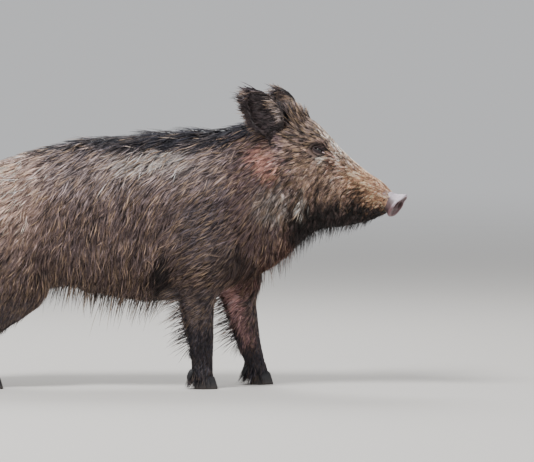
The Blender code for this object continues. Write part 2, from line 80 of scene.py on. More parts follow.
def blend(one, other, share):
    """The first where the share is 0, the second where it is 1, and straight between them."""
    return one + (other - one) * share


MIDLINE_X = np.arange(-800.0, 801.0, 2.0)
MIDLINE_TURN = HEAD_TURN * ease(MIDLINE_X, TURN_FROM, TURN_TO)
MIDLINE_SLOPE = np.tan(MIDLINE_TURN)
MIDLINE_Y = -np.concatenate(([0.0], np.cumsum(MIDLINE_SLOPE[1:] + MIDLINE_SLOPE[:-1])))


def placed(station, side, height):
    """World point (metres) at a station of the midline, a distance to its left, and a height, all in mm."""
    turn = np.interp(station, MIDLINE_X, MIDLINE_TURN)
    x = station + side * np.sin(turn) + SHIFT
    y = np.interp(station, MIDLINE_X, MIDLINE_Y) + side * np.cos(turn)
    return np.stack(np.broadcast_arrays(x, y, height), axis=-1) / 1000.0


def measures(points):
    """Station, distance to the left of the midline, height (mm) and turn of the midline: placed() undone.

    The station is the x less the sideways part's share of it, found by repeating that a few times."""
    x, y, z = (np.asarray(points, float) * 1000.0).T
    x = x - SHIFT
    station = x.copy()
    for _ in range(10):
        turn = np.interp(station, MIDLINE_X, MIDLINE_TURN)
        side = (y - np.interp(station, MIDLINE_X, MIDLINE_Y)) / np.cos(turn)
        station = x - side * np.sin(turn)
    return station, side, z, turn


def outline_at(station):
    """Heights of the back's and of the belly's outline at a station, straight between the table's rows."""
    return [np.interp(station, OUTLINE[:, 0], OUTLINE[:, k]) for k in (1, 2)]


def drop_at(station, height):
    """How far down the body's side a point lies: 0 on the back's outline, 1 on the belly's."""
    top, low = outline_at(station)
    return np.clip((top - height) / (top - low), 0, 1.3)


def over_body(rows, station, drop):
    """A value from a table {station: five values from the back's ridge to the belly}, straight between them."""
    stations = np.array(sorted(rows), float)
    table = np.array([rows[k] for k in sorted(rows)], float)
    i = np.clip(np.searchsorted(stations, station) - 1, 0, len(stations) - 2)
    t = np.clip((station - stations[i]) / (stations[i + 1] - stations[i]), 0, 1)
    level = np.clip(drop, 0, 1) * (table.shape[1] - 1)
    j = np.minimum(level.astype(int), table.shape[1] - 2)
    u = level - j
    near = table[i, j] * (1 - u) + table[i, j + 1] * u
    far = table[i + 1, j] * (1 - u) + table[i + 1, j + 1] * u
    return near * (1 - t) + far * t


def leg_share(station, side, height):
    """1 on the legs and 0 on the body: below the belly's line, and outside the middle of the chest."""
    fore = ease(station, -50, 10) * (1 - ease(station, 300, 340))
    hind = ease(station, -285, -350)
    outside = ease(np.abs(side), 15, 45)
    upper = ease(height, 320, 240) * np.maximum(fore * outside, hind * outside)
    return np.maximum(upper, ease(height, 222, 205) * (station < 330))


def tail_share(station, side, height):
    """1 on the tail, which hangs behind the buttocks."""
    return ease(station, -604, -616) * ease(height, 492, 476) * (np.abs(side) < 34)


COAT_DEPTH = {  # mm from the hide to the coat's outline
    -620: (10, 10, 10, 10, 10),
    -450: (14, 12, 11, 11, 10),
    -330: (16, 13, 12, 13, 18),
    -262: (18, 13, 12, 14, 27),
    -200: (18, 13, 12, 14, 21),
    -40: (20, 13, 11, 13, 20),
    60: (21, 12, 10, 10, 15),
    180: (21, 11, 9, 10, 15),
    260: (19, 9, 8, 10, 15),
    330: (13, 6, 6, 8, 16),
    400: (6, 4, 4, 6, 14),
    480: (3.5, 3, 3.5, 5, 9),
    560: (2, 2, 2, 3, 4),
}


def coat_depth(station, side, height):
    """Depth of the coat in mm at a place: the body's table, thinning down the legs and on the tail."""
    depth = over_body(COAT_DEPTH, station, drop_at(station, height))
    leg = np.interp(height, (20, 60, 110, 200, 300), (2.2, 2.5, 3.0, 6.0, 9.0))
    depth = blend(depth, leg, leg_share(station, side, height))
    tail = 4.0 + 3.0 * ease(height, 430, 370)
    return blend(depth, tail, tail_share(station, side, height))


def read(items, attribute, columns=3, kind=float):
    """One attribute of all of a mesh's points, edges or faces, as an array with a row for each of them."""
    values = np.empty(len(items) * columns, np.int32 if kind is int else np.float32)
    items.foreach_get(attribute, values)
    return values.reshape(-1, columns).astype(kind)


def write_points(mesh, points):
    """Moves all of a mesh's points to new places."""
    mesh.vertices.foreach_set("co", np.asarray(points, np.float32).ravel())
    mesh.update()


def relaxed(points, edges, share, passes):
    """Each pass moves every point by a share of the way to the mean of its neighbours."""
    one, two = edges.T
    many = len(points)
    count = np.maximum(np.bincount(np.r_[one, two], minlength=many), 1)[:, None]
    for _ in range(passes):
        sums = [np.bincount(one, points[two, k], many) + np.bincount(two, points[one, k], many) for k in range(3)]
        points = points + share * (np.stack(sums, axis=1) / count - points)
    return points


def unit(vectors):
    """The same directions at length 1."""
    return vectors / np.maximum(np.linalg.norm(vectors, axis=-1, keepdims=True), 1e-9)


def finer(mesh, wanted):
    """Splits each face whose middle the test picks into four."""
    picked = np.nonzero(wanted(read(mesh.polygons, "center")))[0]
    shape = bmesh.new()
    shape.from_mesh(mesh)
    shape.faces.ensure_lookup_table()
    edges = {edge for i in picked for edge in shape.faces[int(i)].edges}
    bmesh.ops.subdivide_edges(shape, edges=list(edges), cuts=1, use_grid_fill=True)
    bmesh.ops.triangulate(shape, faces=[f for f in shape.faces if len(f.verts) > 4])
    shape.to_mesh(mesh)
    shape.free()


def shown(name, data):
    """An object of the scene, at the origin, that shows this data."""
    made = bpy.data.objects.new(name, data)
    bpy.context.scene.collection.objects.link(made)
    return made


# the solids of flesh are joined, their cuts closed, and made one skin of even grain
joined = bmesh.new()
for name in FLESH:
    joined.from_mesh(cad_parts[name].data)
bmesh.ops.remove_doubles(joined, verts=joined.verts, dist=0.00001)
flesh_mesh = bpy.data.meshes.new("flesh")
joined.to_mesh(flesh_mesh)
joined.free()
flesh_normals = read(flesh_mesh.vertex_normals, "vector")
write_points(flesh_mesh, read(flesh_mesh.vertices, "co") + flesh_normals * CUT_CLOSING)
flesh = shown("flesh", flesh_mesh)
fuse = flesh.modifiers.new("fuse", "REMESH")
fuse.mode = "VOXEL"
fuse.voxel_size = HIDE_GRAIN
hide_mesh = bpy.data.meshes.new_from_object(flesh.evaluated_get(bpy.context.evaluated_depsgraph_get()))
hide_mesh.name = "hide"
bpy.data.objects.remove(flesh)

hide_edges = read(hide_mesh.edges, "vertices", 2, int)
write_points(hide_mesh, relaxed(read(hide_mesh.vertices, "co"), hide_edges, 0.5, 8))


def turned(one, other, angle):
    """Two ways at right angles to each other, turned in their plane, the first one away from the second."""
    c, s = math.cos(angle), math.sin(angle)
    return one * c - other * s, one * s + other * c


# the head's own places: the nose disc, and each eye's middle and the way it looks
ahead = np.array((math.cos(HEAD_TURN), -math.sin(HEAD_TURN), 0.0))
leftward = np.array((math.sin(HEAD_TURN), math.cos(HEAD_TURN), 0.0))
upward = np.array((0.0, 0.0, 1.0))
DISC_TILT, DISC_TURN = math.radians(35), math.radians(14)  # it faces this far below level, and right of the head's way
disc_middle = placed(592.0, 0.0, 479.0)
disc_level, disc_left = turned(ahead, leftward, DISC_TURN)
disc_facing, disc_up = turned(disc_level, upward, DISC_TILT)
# the disc's collar, by distance behind its face: rise of its middle, half height, half width (mm)
COLLAR = np.array([
    (0, 1, 34.5, 24.6), (1.8, 1, 36.5, 27.2), (5, 0.8, 36, 27.6), (10, -0.4, 31.5, 26.5), (19, -3.6, 27.5, 25.4),
    (28, -6, 25.5, 25.0), (38, -8, 24, 24.2), (50, -11, 22, 21),
], float)
EYE_LOOKS = (0.507, 0.80, 0.323)  # ahead, outward and up
EYE_SLANT = math.radians(18)  # the eye's inner corner lies lower
SIDES = {"left": 1.0, "right": -1.0}
eyes = {}
for name, hand in SIDES.items():
    low, high = (np.array(corner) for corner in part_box(f"eye_{name}"))
    looks = unit(ahead * EYE_LOOKS[0] + leftward * hand * EYE_LOOKS[1] + upward * EYE_LOOKS[2])
    along = unit(ahead - looks * (ahead @ looks))
    over = unit(upward - looks * (upward @ looks))
    eyes[name] = ((low + high) / 2, *turned(along, over, EYE_SLANT), looks)


def in_frame(points, middle, *ways):
    """Distances in mm from a middle along each of the ways."""
    return [((points - middle) @ way) * 1000.0 for way in ways]


def collar_at(back):
    """The collar's rise, half height and half width at a distance behind the disc's face."""
    return [np.interp(back, COLLAR[:, 0], COLLAR[:, k]) for k in (1, 2, 3)]


def off_collar(points):
    """How far out from the disc's axis each point lies, where 1 is the collar's surface at that distance back."""
    across, tall, back = in_frame(points, disc_middle, disc_left, disc_up, -disc_facing)
    rise, high, wide = collar_at(back)
    return np.hypot(across / wide, (tall - rise) / high)


def from_eyes(points):
    """Distance in mm to the middle of the nearer eye."""
    return np.min([np.linalg.norm(points - eye[0], axis=1) for eye in eyes.values()], axis=0) * 1000.0


# the head's points stand twice as close as the trunk's, and the muzzle's and those round the eyes four times
FINE_FROM, FINER_FROM, FINER_BY_EYES = 322.0, 455.0, 42.0
FINE_ABOVE = 0.36  # metres, clear of the fore legs
finer(hide_mesh, lambda p: (measures(p)[0] > FINE_FROM) & (p[:, 2] > FINE_ABOVE))
finer(hide_mesh, lambda p: (measures(p)[0] > FINER_FROM) | (from_eyes(p) < FINER_BY_EYES))
hide_edges = read(hide_mesh.edges, "vertices", 2, int)
hide_points = read(hide_mesh.vertices, "co")
station, side, height, turn = measures(hide_points)
head_share = (ease(station, 315, 335) * (height > 350))[:, None]
hide_points = relaxed(hide_points, hide_edges, 0.5 * head_share, 10)
write_points(hide_mesh, hide_points)
hide_normals = unit(relaxed(read(hide_mesh.vertex_normals, "vector"), hide_edges, 0.6, 5))



def grown(normals, out):
    """The moves, in metres, of points that go out by so many mm each."""
    return normals * out[:, None] / 1000.0


depth = coat_depth(station, side, height)
hide_points = hide_points - grown(hide_normals, depth)

# the tail's own end is shorter than its tassel: what hangs lower is squeezed up to this height
TAIL_END, SQUEEZE = 398.0, 0.12
station, side, height, turn = measures(hide_points)
tail = tail_share(station, side, height)
shorter = np.maximum(height, TAIL_END + (height - TAIL_END) * SQUEEZE)
hide_points[:, 2] = blend(height, shorter, tail) / 1000.0

# behind the nose disc the hide stops short, is hollow where the nostrils go in, and narrows into the collar
NOSE_STOP, NOSE_HOLLOW, NOSE_NARROWER = -11.0, 14.0, 2.5  # mm
behind, across, tall = in_frame(hide_points, disc_middle, disc_facing, disc_left, disc_up)
held = np.where(behind > NOSE_STOP, NOSE_STOP + (behind - NOSE_STOP) * 0.1, behind)
hollow = NOSE_HOLLOW * ease(np.hypot(across / 21, tall / 28), 1.0, 0.75) * ease(behind, NOSE_STOP - 8, NOSE_STOP)
hide_points += np.outer((held - behind - hollow) / 1000.0, disc_facing)
station, side, height, turn = measures(hide_points)
hide_points -= grown(hide_normals, NOSE_NARROWER * ease(station, 556, 572))


def bell(value, middle, spread):
    """1 at the middle and nearly 0 two spreads away: e to the power of minus the square of the distance."""
    return np.exp(-(((value - middle) / spread) ** 2))


# the mouth: a crease from its corner to the front of the lips, the lower lip tucked under the upper
MOUTH_LINE = np.array([(470, 473), (520, 461), (578, 455)], float)  # station and height
station, side, height, turn = measures(hide_points)
write_points(hide_mesh, hide_points)
hide_normals = read(hide_mesh.vertex_normals, "vector")
over_lip = height - np.interp(station, *MOUTH_LINE.T)
crease = 3.2 * bell(over_lip, 0, 2.0) + 1.6 * ease(over_lip, 1, -2) * ease(over_lip, -16, -6)
lip_roll = 0.9 * bell(over_lip, 5.5, 3.5)
mouth_reach = ease(station, MOUTH_LINE[0, 0] - 6, MOUTH_LINE[0, 0] + 12)
hide_points -= grown(hide_normals, (crease - lip_roll) * mouth_reach)

# the face's own forms: shallow folds round the muzzle, and the hollow in front of the eye
FOLD_APART, FOLD_HIGH = 11.0, 0.45  # mm
fold_wave = np.sin(in_frame(hide_points, disc_middle, disc_facing)[0] * 2 * np.pi / FOLD_APART + height * 0.05)
fold = FOLD_HIGH * fold_wave * ease(station, 505, 535) * ease(height, 490, 520)
hollow = 2.2 * np.exp(-(((station - 447) / 22) ** 2) - (((height - 588) / 13) ** 2))
hide_points += grown(hide_normals, fold - hollow)

# each eye's socket: the hide sinks in there to make room for the lids, which have the height that it had before
LID_REACH = (29.0, 20.0)  # half length and half height of the lids' patch, mm
SOCKET_DEEP = 10.0
hide_mesh.calc_loop_triangles()
triangles = read(hide_mesh.loop_triangles, "vertices", 3, int)
skin_tree = BVHTree.FromPolygons(hide_points.tolist(), triangles.tolist())
for middle, along, over, looks in eyes.values():
    a, o, out = in_frame(hide_points, middle, along, over, looks)
    reach = np.hypot(a / LID_REACH[0], o / LID_REACH[1])
    sink = SOCKET_DEEP * ease(reach, 0.92, 0.6) * (out > -4) * (out < 30)
    hide_points -= np.outer(sink / 1000.0, looks)

# ---------------------------------------------------------------- the lids
# Bare folds of skin over each eye.  Their edge is an almond that rests on the eyeball, and outside a
# crease they run out into the face.
EYE_RADIUS = 12.0
OPENING = (14.2, 4.5, 3.9)  # half length, height of the upper edge and of the lower one, mm
LID_WALL = ((1.12, 7.0), (1.02, 2.6), (0.985, 1.3), (0.99, 0.3))  # the inner rings: share of the opening, depth in mm
LID_POINTS, LID_RINGS = 80, 15
LID_KIND, TEAR_KINDS, EAR_KIND = 10, (12, 13), 20  # what a point of the skin belongs to: 1 more on the right, else 0


def circle(count):
    """So many angles all the way round, the same step apart."""
    return np.linspace(0, 2 * np.pi, count, endpoint=False)


def point_at(middle, ways, *distances):
    """The points at three distances in mm from a middle along three ways: in_frame() undone."""
    one, two, three = (np.asarray(distance)[..., None] * way for distance, way in zip(distances, ways))
    return middle + (one + two + three) / 1000.0


def ring_faces(rows, columns):
    """Quads between the rings of a tube whose points are laid out ring by ring."""
    r, c = np.meshgrid(np.arange(rows - 1), np.arange(columns), indexing="ij")
    n = (c + 1) % columns
    quads = np.stack([r * columns + c, r * columns + n, (r + 1) * columns + n, (r + 1) * columns + c], axis=-1)
    return quads.reshape(-1, 4).tolist()


def tube_faces(rows, columns):
    """The same quads, with one face more that closes the first ring and one that closes the last."""
    first, last = list(range(columns)), list(range((rows - 1) * columns, rows * columns))
    return ring_faces(rows, columns) + [first[::-1], last]


def other_way(faces):
    """The same faces, facing the other way."""
    return [face[::-1] for face in faces]


def lids(middle, along, over, looks, hand):
    """Rings round the opening: first the lid's inner wall, then its rolled edge, then the way out to the face.

    The opening is (a cos t, b sin t |sin t|^0.35).  The lid bulges as R + 1.5 - (a^2 + 1.2 o^2)/40, with bells
    for its folds, and eases into the height of the skin found along the eye's line of sight."""
    ways = (along, over, looks)
    round_eye = circle(LID_POINTS)
    lift = np.sin(round_eye)
    edge_a = OPENING[0] * np.cos(round_eye)
    edge_o = np.where(lift > 0, OPENING[1], OPENING[2]) * lift * np.abs(lift) ** 0.35
    outer_a = LID_REACH[0] * np.cos(round_eye)
    outer_o = LID_REACH[1] * lift
    skin_out = []
    for a, o in zip(outer_a, outer_o):
        hit = skin_tree.ray_cast(Vector(point_at(middle, ways, a, o, 60.0)), Vector(-looks), 0.12)[0]
        skin_out.append((np.array(hit) - middle) @ looks * 1000.0 if hit else 8.0)
    skin_out = np.array(skin_out)

    def bulge(a, o):
        """How far in front of the eyeball's middle the lid's smooth form lies there."""
        return EYE_RADIUS + 1.5 - (a * a + 1.2 * o * o) / 40.0

    rings = []
    for scale, back in LID_WALL:
        a, o = edge_a * scale, edge_o * scale
        rings.append((a, o, bulge(a, o) - back))
    upper = ease(lift, -0.2, 0.5)
    for t in np.linspace(0.06, 1, LID_RINGS):
        a, o = blend(edge_a, outer_a, t), blend(edge_o, outer_o, t)
        level = blend(bulge(a, o), skin_out, ease(t, 0.3, 0.9))
        level += 0.7 * bell(t, 0.12, 0.09)
        level -= (1.7 * upper + 0.5) * bell(t, 0.33, 0.07)
        level += 1.1 * upper * bell(t, 0.5, 0.12)
        level -= 0.8 * bell(t, 0.42, 0.09) * (1 - upper)
        level -= 1.2 * ease(t, 0.88, 1.0)
        rings.append((a, o, level))
    grid = np.array([point_at(middle, ways, *ring) for ring in rings])
    return grid if hand > 0 else grid[:, ::-1]


skin_parts = []  # kind, points and faces of what joins the hide
for number, (name, hand) in enumerate(SIDES.items()):
    rings = lids(*eyes[name], hand)
    skin_parts.append((LID_KIND + number, rings.reshape(-1, 3), other_way(ring_faces(*rings.shape[:2]))))


def ball(middle, ways, sizes, rows, columns):
    """An ellipsoid in rings of latitude: its sizes times cos u cos t, cos u sin t and sin u along three ways."""
    up, about = np.meshgrid(np.linspace(-np.pi / 2 + 0.02, np.pi / 2 - 0.02, rows), circle(columns), indexing="ij")
    level = np.cos(up)
    a, o, out = sizes[0] * level * np.cos(about), sizes[1] * level * np.sin(about), sizes[2] * np.sin(up)
    return point_at(middle, ways, a, o, out).reshape(-1, 3)


# the pink flesh in each eye's inner corner: mm from the eyeball's middle, half sizes in mm, rings and points
TEAR_AT, TEAR_SIZES, TEAR_GRID = (12.2, -0.6, 7.4), (3.6, 2.3, 2.4), (10, 14)
for kind, (name, hand) in zip(TEAR_KINDS, SIDES.items()):
    middle, along, over, looks = eyes[name]
    at = point_at(middle, (along, over, looks), *TEAR_AT)
    skin_parts.append((kind, ball(at, (along, over * hand, looks), TEAR_SIZES, *TEAR_GRID), ring_faces(*TEAR_GRID)))

# ---------------------------------------------------------------- the ears
# Stiff leaves of gristle under thin skin, hollow on the outer face, rooted high behind the eyes.  Each is a
# closed tube of crescent sections whose foot stands in the hide, and long hair makes up its tip.
EAR_ROOT = (294.0, 70.2, 668.0)  # station, distance from the midline and height
EAR_TIPS = {1.0: (-44.0, 36.0, 120.0), -1.0: (-58.0, 36.0, 120.0)}  # left and right, from the root: ahead, outward, up
EAR_OPENS = math.radians(24)  # ahead of straight out to the side
EAR_HALF_WIDTH, EAR_HOLLOW, EAR_THICK = 39.0, 20.0, 4.2
EAR_SHARE = 0.92  # of the solid ear's length
EAR_ROWS, EAR_COLUMNS = 44, 56


def ear_ways(hand):
    """The ear's root, its length, and its directions to the tip, across, and out of its hollow."""
    forward, outward, up = EAR_TIPS[hand]
    tip = ahead * forward + leftward * hand * outward + upward * up
    axis = unit(tip)
    facing = ahead * math.sin(EAR_OPENS) + leftward * hand * math.cos(EAR_OPENS)
    facing = unit(facing - axis * (facing @ axis))
    root = placed(EAR_ROOT[0], hand * EAR_ROOT[1], EAR_ROOT[2])
    return root, np.linalg.norm(tip), axis, np.cross(facing, axis), facing


def ear_surface(hand):
    """Both faces of the leaf as one tube of crescent sections: half width w(v) across, curled as u^2, thin at u = 1."""
    root, length, *ways = ear_ways(hand)
    v = np.linspace(-0.2, 1, EAR_ROWS)[:, None]
    about = circle(EAR_COLUMNS)[None, :]
    u = np.cos(about) * np.ones_like(v)
    open_share = np.maximum(v, 0)
    swelling = 0.82 + 0.23 * np.sin(np.pi * np.minimum(0.5, open_share * 1.1))
    half = EAR_HALF_WIDTH * np.maximum(0.08, swelling * np.maximum(1 - open_share**3.4, 0) ** 0.6)
    half = half * (0.66 + 0.34 * ease(v, -0.1, 0.3))
    curl = EAR_HOLLOW * (1 - 0.6 * open_share) * (half / EAR_HALF_WIDTH) * (u**2 - 0.5)
    thick = EAR_THICK * (1 - 0.35 * open_share) * (0.25 + 0.75 * (1 - u**2)) * np.sin(about)
    thick = thick + 0.8 * np.sign(np.sin(about)) * np.sin(6 * u) * ease(v, 0.7, 0.1) * (1 - u**2)
    out = curl + thick - 13 * ease(v, 0.12, -0.2)
    return point_at(root, ways, length * EAR_SHARE * v, half * u, out).reshape(-1, 3)


for number, hand in enumerate(SIDES.values()):
    skin_parts.append((EAR_KIND + number, ear_surface(hand), other_way(tube_faces(EAR_ROWS, EAR_COLUMNS))))

# ---------------------------------------------------------------- the hide, joined
# Body, lids and ears are one skin, so they make one mesh.  A number kept with each point tells what it is
# part of, which the colours and the coat ask for.
all_points, all_faces, kinds = [hide_points], triangles.tolist(), [np.zeros(len(hide_points), int)]
start = len(hide_points)
for kind, points, faces in skin_parts:
    all_points.append(points)
    all_faces += [(np.array(face) + start).tolist() for face in faces]
    kinds.append(np.full(len(points), kind))
    start += len(points)
hide_points, hide_kind = np.concatenate(all_points), np.concatenate(kinds)
hide_mesh = bpy.data.meshes.new("hide")
hide_mesh.from_pydata(hide_points, [], all_faces)
hide_mesh.shade_smooth()
hide_mesh.update()
hide = shown("hide", hide_mesh)

# ---------------------------------------------------------------- the markings
# One rule for the colour of hide and hair alike: grizzled brown, a black ridge, dark legs, tan muzzle, black jaw,
# and a bare pinkish patch behind each cheek; with painted highlight paler along the back, the rump, a band
# below the ridge and the nose bridge, and painted shade darker below.


def shade(red, green, blue):
    """A colour given on the 0 to 255 scale, as linear light."""
    value = np.array((red, green, blue), float) / 255.0
    return np.where(value <= 0.04045, value / 12.92, ((value + 0.055) / 1.055) ** 2.4)


# the back's, the rump's and the sheen's colours are painted highlight, paler where light from above falls
FLANK, BACK_HIGHLIGHT, RUMP_HIGHLIGHT, SHEEN_HIGHLIGHT = shade(120, 103, 102), shade(170, 154, 153), shade(254, 216, 200), shade(214, 206, 200)
# the belly's colour is painted shade: the underside darker than the flank
MANE, BELLY, SHOULDER = shade(44, 45, 54), shade(90, 74, 70), shade(98, 88, 92)
NECK, NECK_LOW, THROAT = shade(112, 93, 94), shade(152, 140, 136), shade(86, 58, 52)
LEG, LEG_INSIDE, SHANK = shade(88, 78, 80), shade(240, 182, 182), shade(62, 58, 66)
# the elbow's dark colour is a painted shadow
ELBOW_SHADOW, CHEST = shade(40, 34, 35), shade(62, 50, 48)
# the nose ridge's colour is a painted highlight
FACE, FOREHEAD, NOSE_RIDGE_HIGHLIGHT = shade(136, 112, 102), shade(86, 74, 70), shade(232, 224, 212)
CHEEK_PATCH, JAW, MUZZLE = shade(222, 160, 147), shade(38, 31, 31), shade(214, 160, 125)
MUZZLE_TOP, EYE_RING, TEAR = shade(112, 80, 68), shade(70, 54, 52), shade(84, 46, 36)
UNDER_EYE, EAR, EAR_FRONT, EAR_TOP = shade(168, 158, 150), shade(56, 47, 49), shade(172, 156, 150), shade(76, 68, 72)
TEAR_FLESH, BARE_LID, LID_EDGE = shade(224, 196, 196), shade(82, 63, 64), shade(38, 28, 30)
WHISKER = shade(216, 210, 202)


def scramble(numbers, salt):
    """Whole numbers to numbers from 0 to 1 with no visible order: multiply, fold the high bits down, repeat."""
    h = numbers.astype(np.uint64) * np.uint64(0x9E3779B97F4A7C15) + np.uint64(salt * 7919 + 1)
    for shift, factor in ((30, 0xBF58476D1CE4E5B9), (27, 0x94D049BB133111EB)):
        h = (h ^ (h >> np.uint64(shift))) * np.uint64(factor)
    return ((h ^ (h >> np.uint64(31))) >> np.uint64(40)).astype(float) / float(1 << 24)


def corner_number(cells):
    """One whole number for each corner of a lattice: its three step counts times large primes, mixed bit by bit."""
    return (cells[..., 0] * 73856093) ^ (cells[..., 1] * 19349663) ^ (cells[..., 2] * 83492791)


def cloud(points, size, salt):
    """Soft noise from 0 to 1: a random value on each corner of a lattice of this size, in mm, eased between corners."""
    at = points * 1000.0 / size + 1000.0
    cell = np.floor(at).astype(np.int64)
    t = at - cell
    t = t * t * (3 - 2 * t)
    total = 0.0
    for dx in (0, 1):
        for dy in (0, 1):
            for dz in (0, 1):
                share = np.abs(1 - dx - t[:, 0]) * np.abs(1 - dy - t[:, 1]) * np.abs(1 - dz - t[:, 2])
                total = total + share * scramble(corner_number(cell + (dx, dy, dz)), salt)
    return total


def blot(station, height, at, reach, lean=0.0):
    """1 at an oval's middle, one half near its rim, 0 well outside it; lean raises its front end, in degrees."""
    ds, dh = station - at[0], height - at[1]
    c, s = math.cos(math.radians(lean)), math.sin(math.radians(lean))
    r = np.hypot((ds * c + dh * s) / reach[0], (dh * c - ds * s) / reach[1])
    return ease(r, 1.45, 0.55)


def layered(colour, *layers):
    """Colours laid one over the other, each of them (colour, share) with a share from 0 to 1 for every point."""
    for other, share in layers:
        colour = blend(colour, other, np.clip(share, 0, 1)[:, None])
    return colour


MANE_LOW = np.array([  # station, and how far below the back's skin the black ridge ends there (mm)
    (-420, -6), (-300, 3), (-180, 15), (-60, 25), (60, 29), (200, 28), (260, 24), (310, 15),
], float)
INNER_PATCH = np.array([(60, 206), (120, 196), (200, 174), (290, 167)], float)  # height and station, down the foreleg


def markings(points, normals, kind):
    """The coat's colour at each point: broad fields by station and height first, then smaller patches over them."""
    station, side, height, _ = measures(points)
    drop = drop_at(station, height)
    wander = (cloud(points, 70, 3) - 0.5) * 2
    fine = (cloud(points, 22, 4) - 0.5) * 2
    patchy = 0.2 * (cloud(points, 11, 5) - 0.5)
    # places as the broad fields see them, with uneven borders
    x, z = station + 16 * wander + 6 * fine, height + 14 * fine + 10 * wander
    down = drop + 0.07 * wander + 0.04 * fine
    aside = np.abs(side)
    ridge = outline_at(station)[0] - over_body(COAT_DEPTH, station, 0 * station) - height
    leg = leg_share(station, side, height)
    patch_width = np.interp(height, (80, 200, 290), (12, 15, 20))
    patch = bell(station + 4 * fine, np.interp(height, *INNER_PATCH.T), patch_width)
    inward = ease(-np.sign(side) * normals[:, 1], 0.2, 0.6)
    inside = inward * ease(z, 70, 130) * ease(z, 334, 300) * (aside < 115) * np.where(station > -100, patch, 0.2)
    mane_low = np.interp(station, *MANE_LOW.T) + 6 * fine + 4 * wander
    mane = ease(ridge - mane_low, 6, -5) * (normals[:, 2] > 0) * ease(station, 335, 300) * ease(x, -460, -410)
    colour = layered(
        FLANK,
        # painted highlight: the back paler where the light from above falls on it, the rump and hips more so
        (BACK_HIGHLIGHT, 0.95 * ease(down, 0.42, 0.10)),
        (RUMP_HIGHLIGHT, ease(x, -265, -435) * ease(down, 0.86, 0.12)),
        (SHOULDER, ease(x, -10, 70) * ease(down, 0.22, 0.5)),
        (NECK, ease(x, 130, 210)),
        # painted shade: darker down the lower flank and belly, under the body
        (BELLY, ease(down, 0.60, 0.9) * (1 - 0.7 * ease(x, 60, 180)) * (1 - 0.7 * ease(x, -330, -430))),
        (NECK_LOW, blot(x, z, (296, 492), (50, 46))),
        # painted shadow in the fold behind the elbow
        (ELBOW_SHADOW, 0.95 * blot(x, z, (-10, 300), (24, 76), 6) * (aside > 60)),
        (EAR, 0.92 * blot(x, z, (258, 674), (42, 30), 10) * ease(aside, 36, 56)),
        (THROAT, ease(down, 0.72, 0.93) * ease(x, 120, 190) * (1 - ease(x, 360, 420))),
        (CHEST, 0.8 * blot(x, z, (176, 338), (56, 34), -20)),
        # the head and the cheeks, with a band of painted highlight behind the withers
        (FACE, ease(x, 318, 362)),
        (FOREHEAD, 0.9 * blot(x, z, (364, 690), (68, 46), -35)),
        (CHEEK_PATCH, 0.85 * blot(station, z, (276, 596), (30, 42), 35) * ease(aside, 40, 60)),
        (SHEEN_HIGHLIGHT, 0.6 * ease(ridge, 26, 42) * ease(ridge, 88, 60) * ease(x, -150, -90) * ease(x, 110, 50)),
        # painted highlight along the top of the nose bridge
        (NOSE_RIDGE_HIGHLIGHT, 0.9 * ease(ridge, 11, 2) * ease(x, 392, 430) * (1 - ease(x, 490, 515))),
        (MUZZLE, 0.9 * ease(x, 450, 505) * ease(down, 0.80, 0.55)),
        (MUZZLE_TOP, 0.75 * blot(x, z, (548, 538), (34, 17), -35)),
        (JAW, 0.96 * ease(down + patchy, 0.50, 0.74) * ease(x, 302, 344)),
        (JAW, 0.88 * blot(x, z, (499, 497), (36, 35), -25)),
        (JAW, 0.62 * blot(x, z, (410, 492), (36, 26), 10)),
        (WHISKER, 0.55 * blot(station, height, (366, 496), (5.5, 25), -14) * (aside > 30)),
        (EYE_RING, 0.85 * blot(station, height, (405, 629), (25, 14), -22)),
        (UNDER_EYE, 0.7 * blot(station, height, (412, 603), (15, 8), -20)),
        (TEAR, 0.95 * blot(station, height, (431, 592), (7, 19), 6)),
        # the legs, bare and pink on the inside, the tail, and the ridge from the loins to between the ears
        (LEG, ease(z, 330, 225) * leg),
        (SHANK, ease(z, 215, 140) * leg),
        (LEG_INSIDE * 0.55 + SHANK * 0.45, 0.75 * inside),
        (LEG_INSIDE, inside * ease(z, 150, 230)),
        (BELLY, tail_share(station, side, height) * 0.8),
        (MANE, 0.97 * mane),
    )
    # ears: dark, with a pale front edge
    for number, hand in enumerate(SIDES.values()):
        root, length, axis, chord, facing = ear_ways(hand)
        up_ear, front = in_frame(points, root, axis, chord * hand)
        up_ear = up_ear / length
        ear_colour = layered(
            EAR,
            (EAR_TOP, ease(up_ear, 0.68, 0.9)),
            (EAR_FRONT, ease(front / EAR_HALF_WIDTH + 0.12 * fine, 0.78, 0.92) * 0.7),
            (FACE, 0.22 * ease(normals @ facing, 0.1, -0.5) * ease(up_ear, 1.0, 0.6)),
        )
        colour = layered(colour, (ear_colour, kind == EAR_KIND + number))
    return np.where(np.isin(kind, TEAR_KINDS)[:, None], TEAR_FLESH, colour)


class Wire:
    """A shader socket that takes part in sums: + and * add the Math nodes."""

    def __init__(self, tree, socket):
        self.tree, self.socket = tree, socket

    def maths(self, operation, other):
        node = self.tree.nodes.new("ShaderNodeMath")
        node.operation = operation
        for slot, value in zip(node.inputs, (self, other)):
            plug(self.tree, slot, value)
        return Wire(self.tree, node.outputs[0])

    def __add__(self, other):
        return self.maths("ADD", other)

    def __mul__(self, other):
        return self.maths("MULTIPLY", other)

    __radd__, __rmul__ = __add__, __mul__


def plug(tree, slot, value):
    """Links a wire to a node's input, or sets the input to a plain value."""
    if isinstance(value, Wire):
        tree.links.new(value.socket, slot)
    else:
        slot.default_value = value


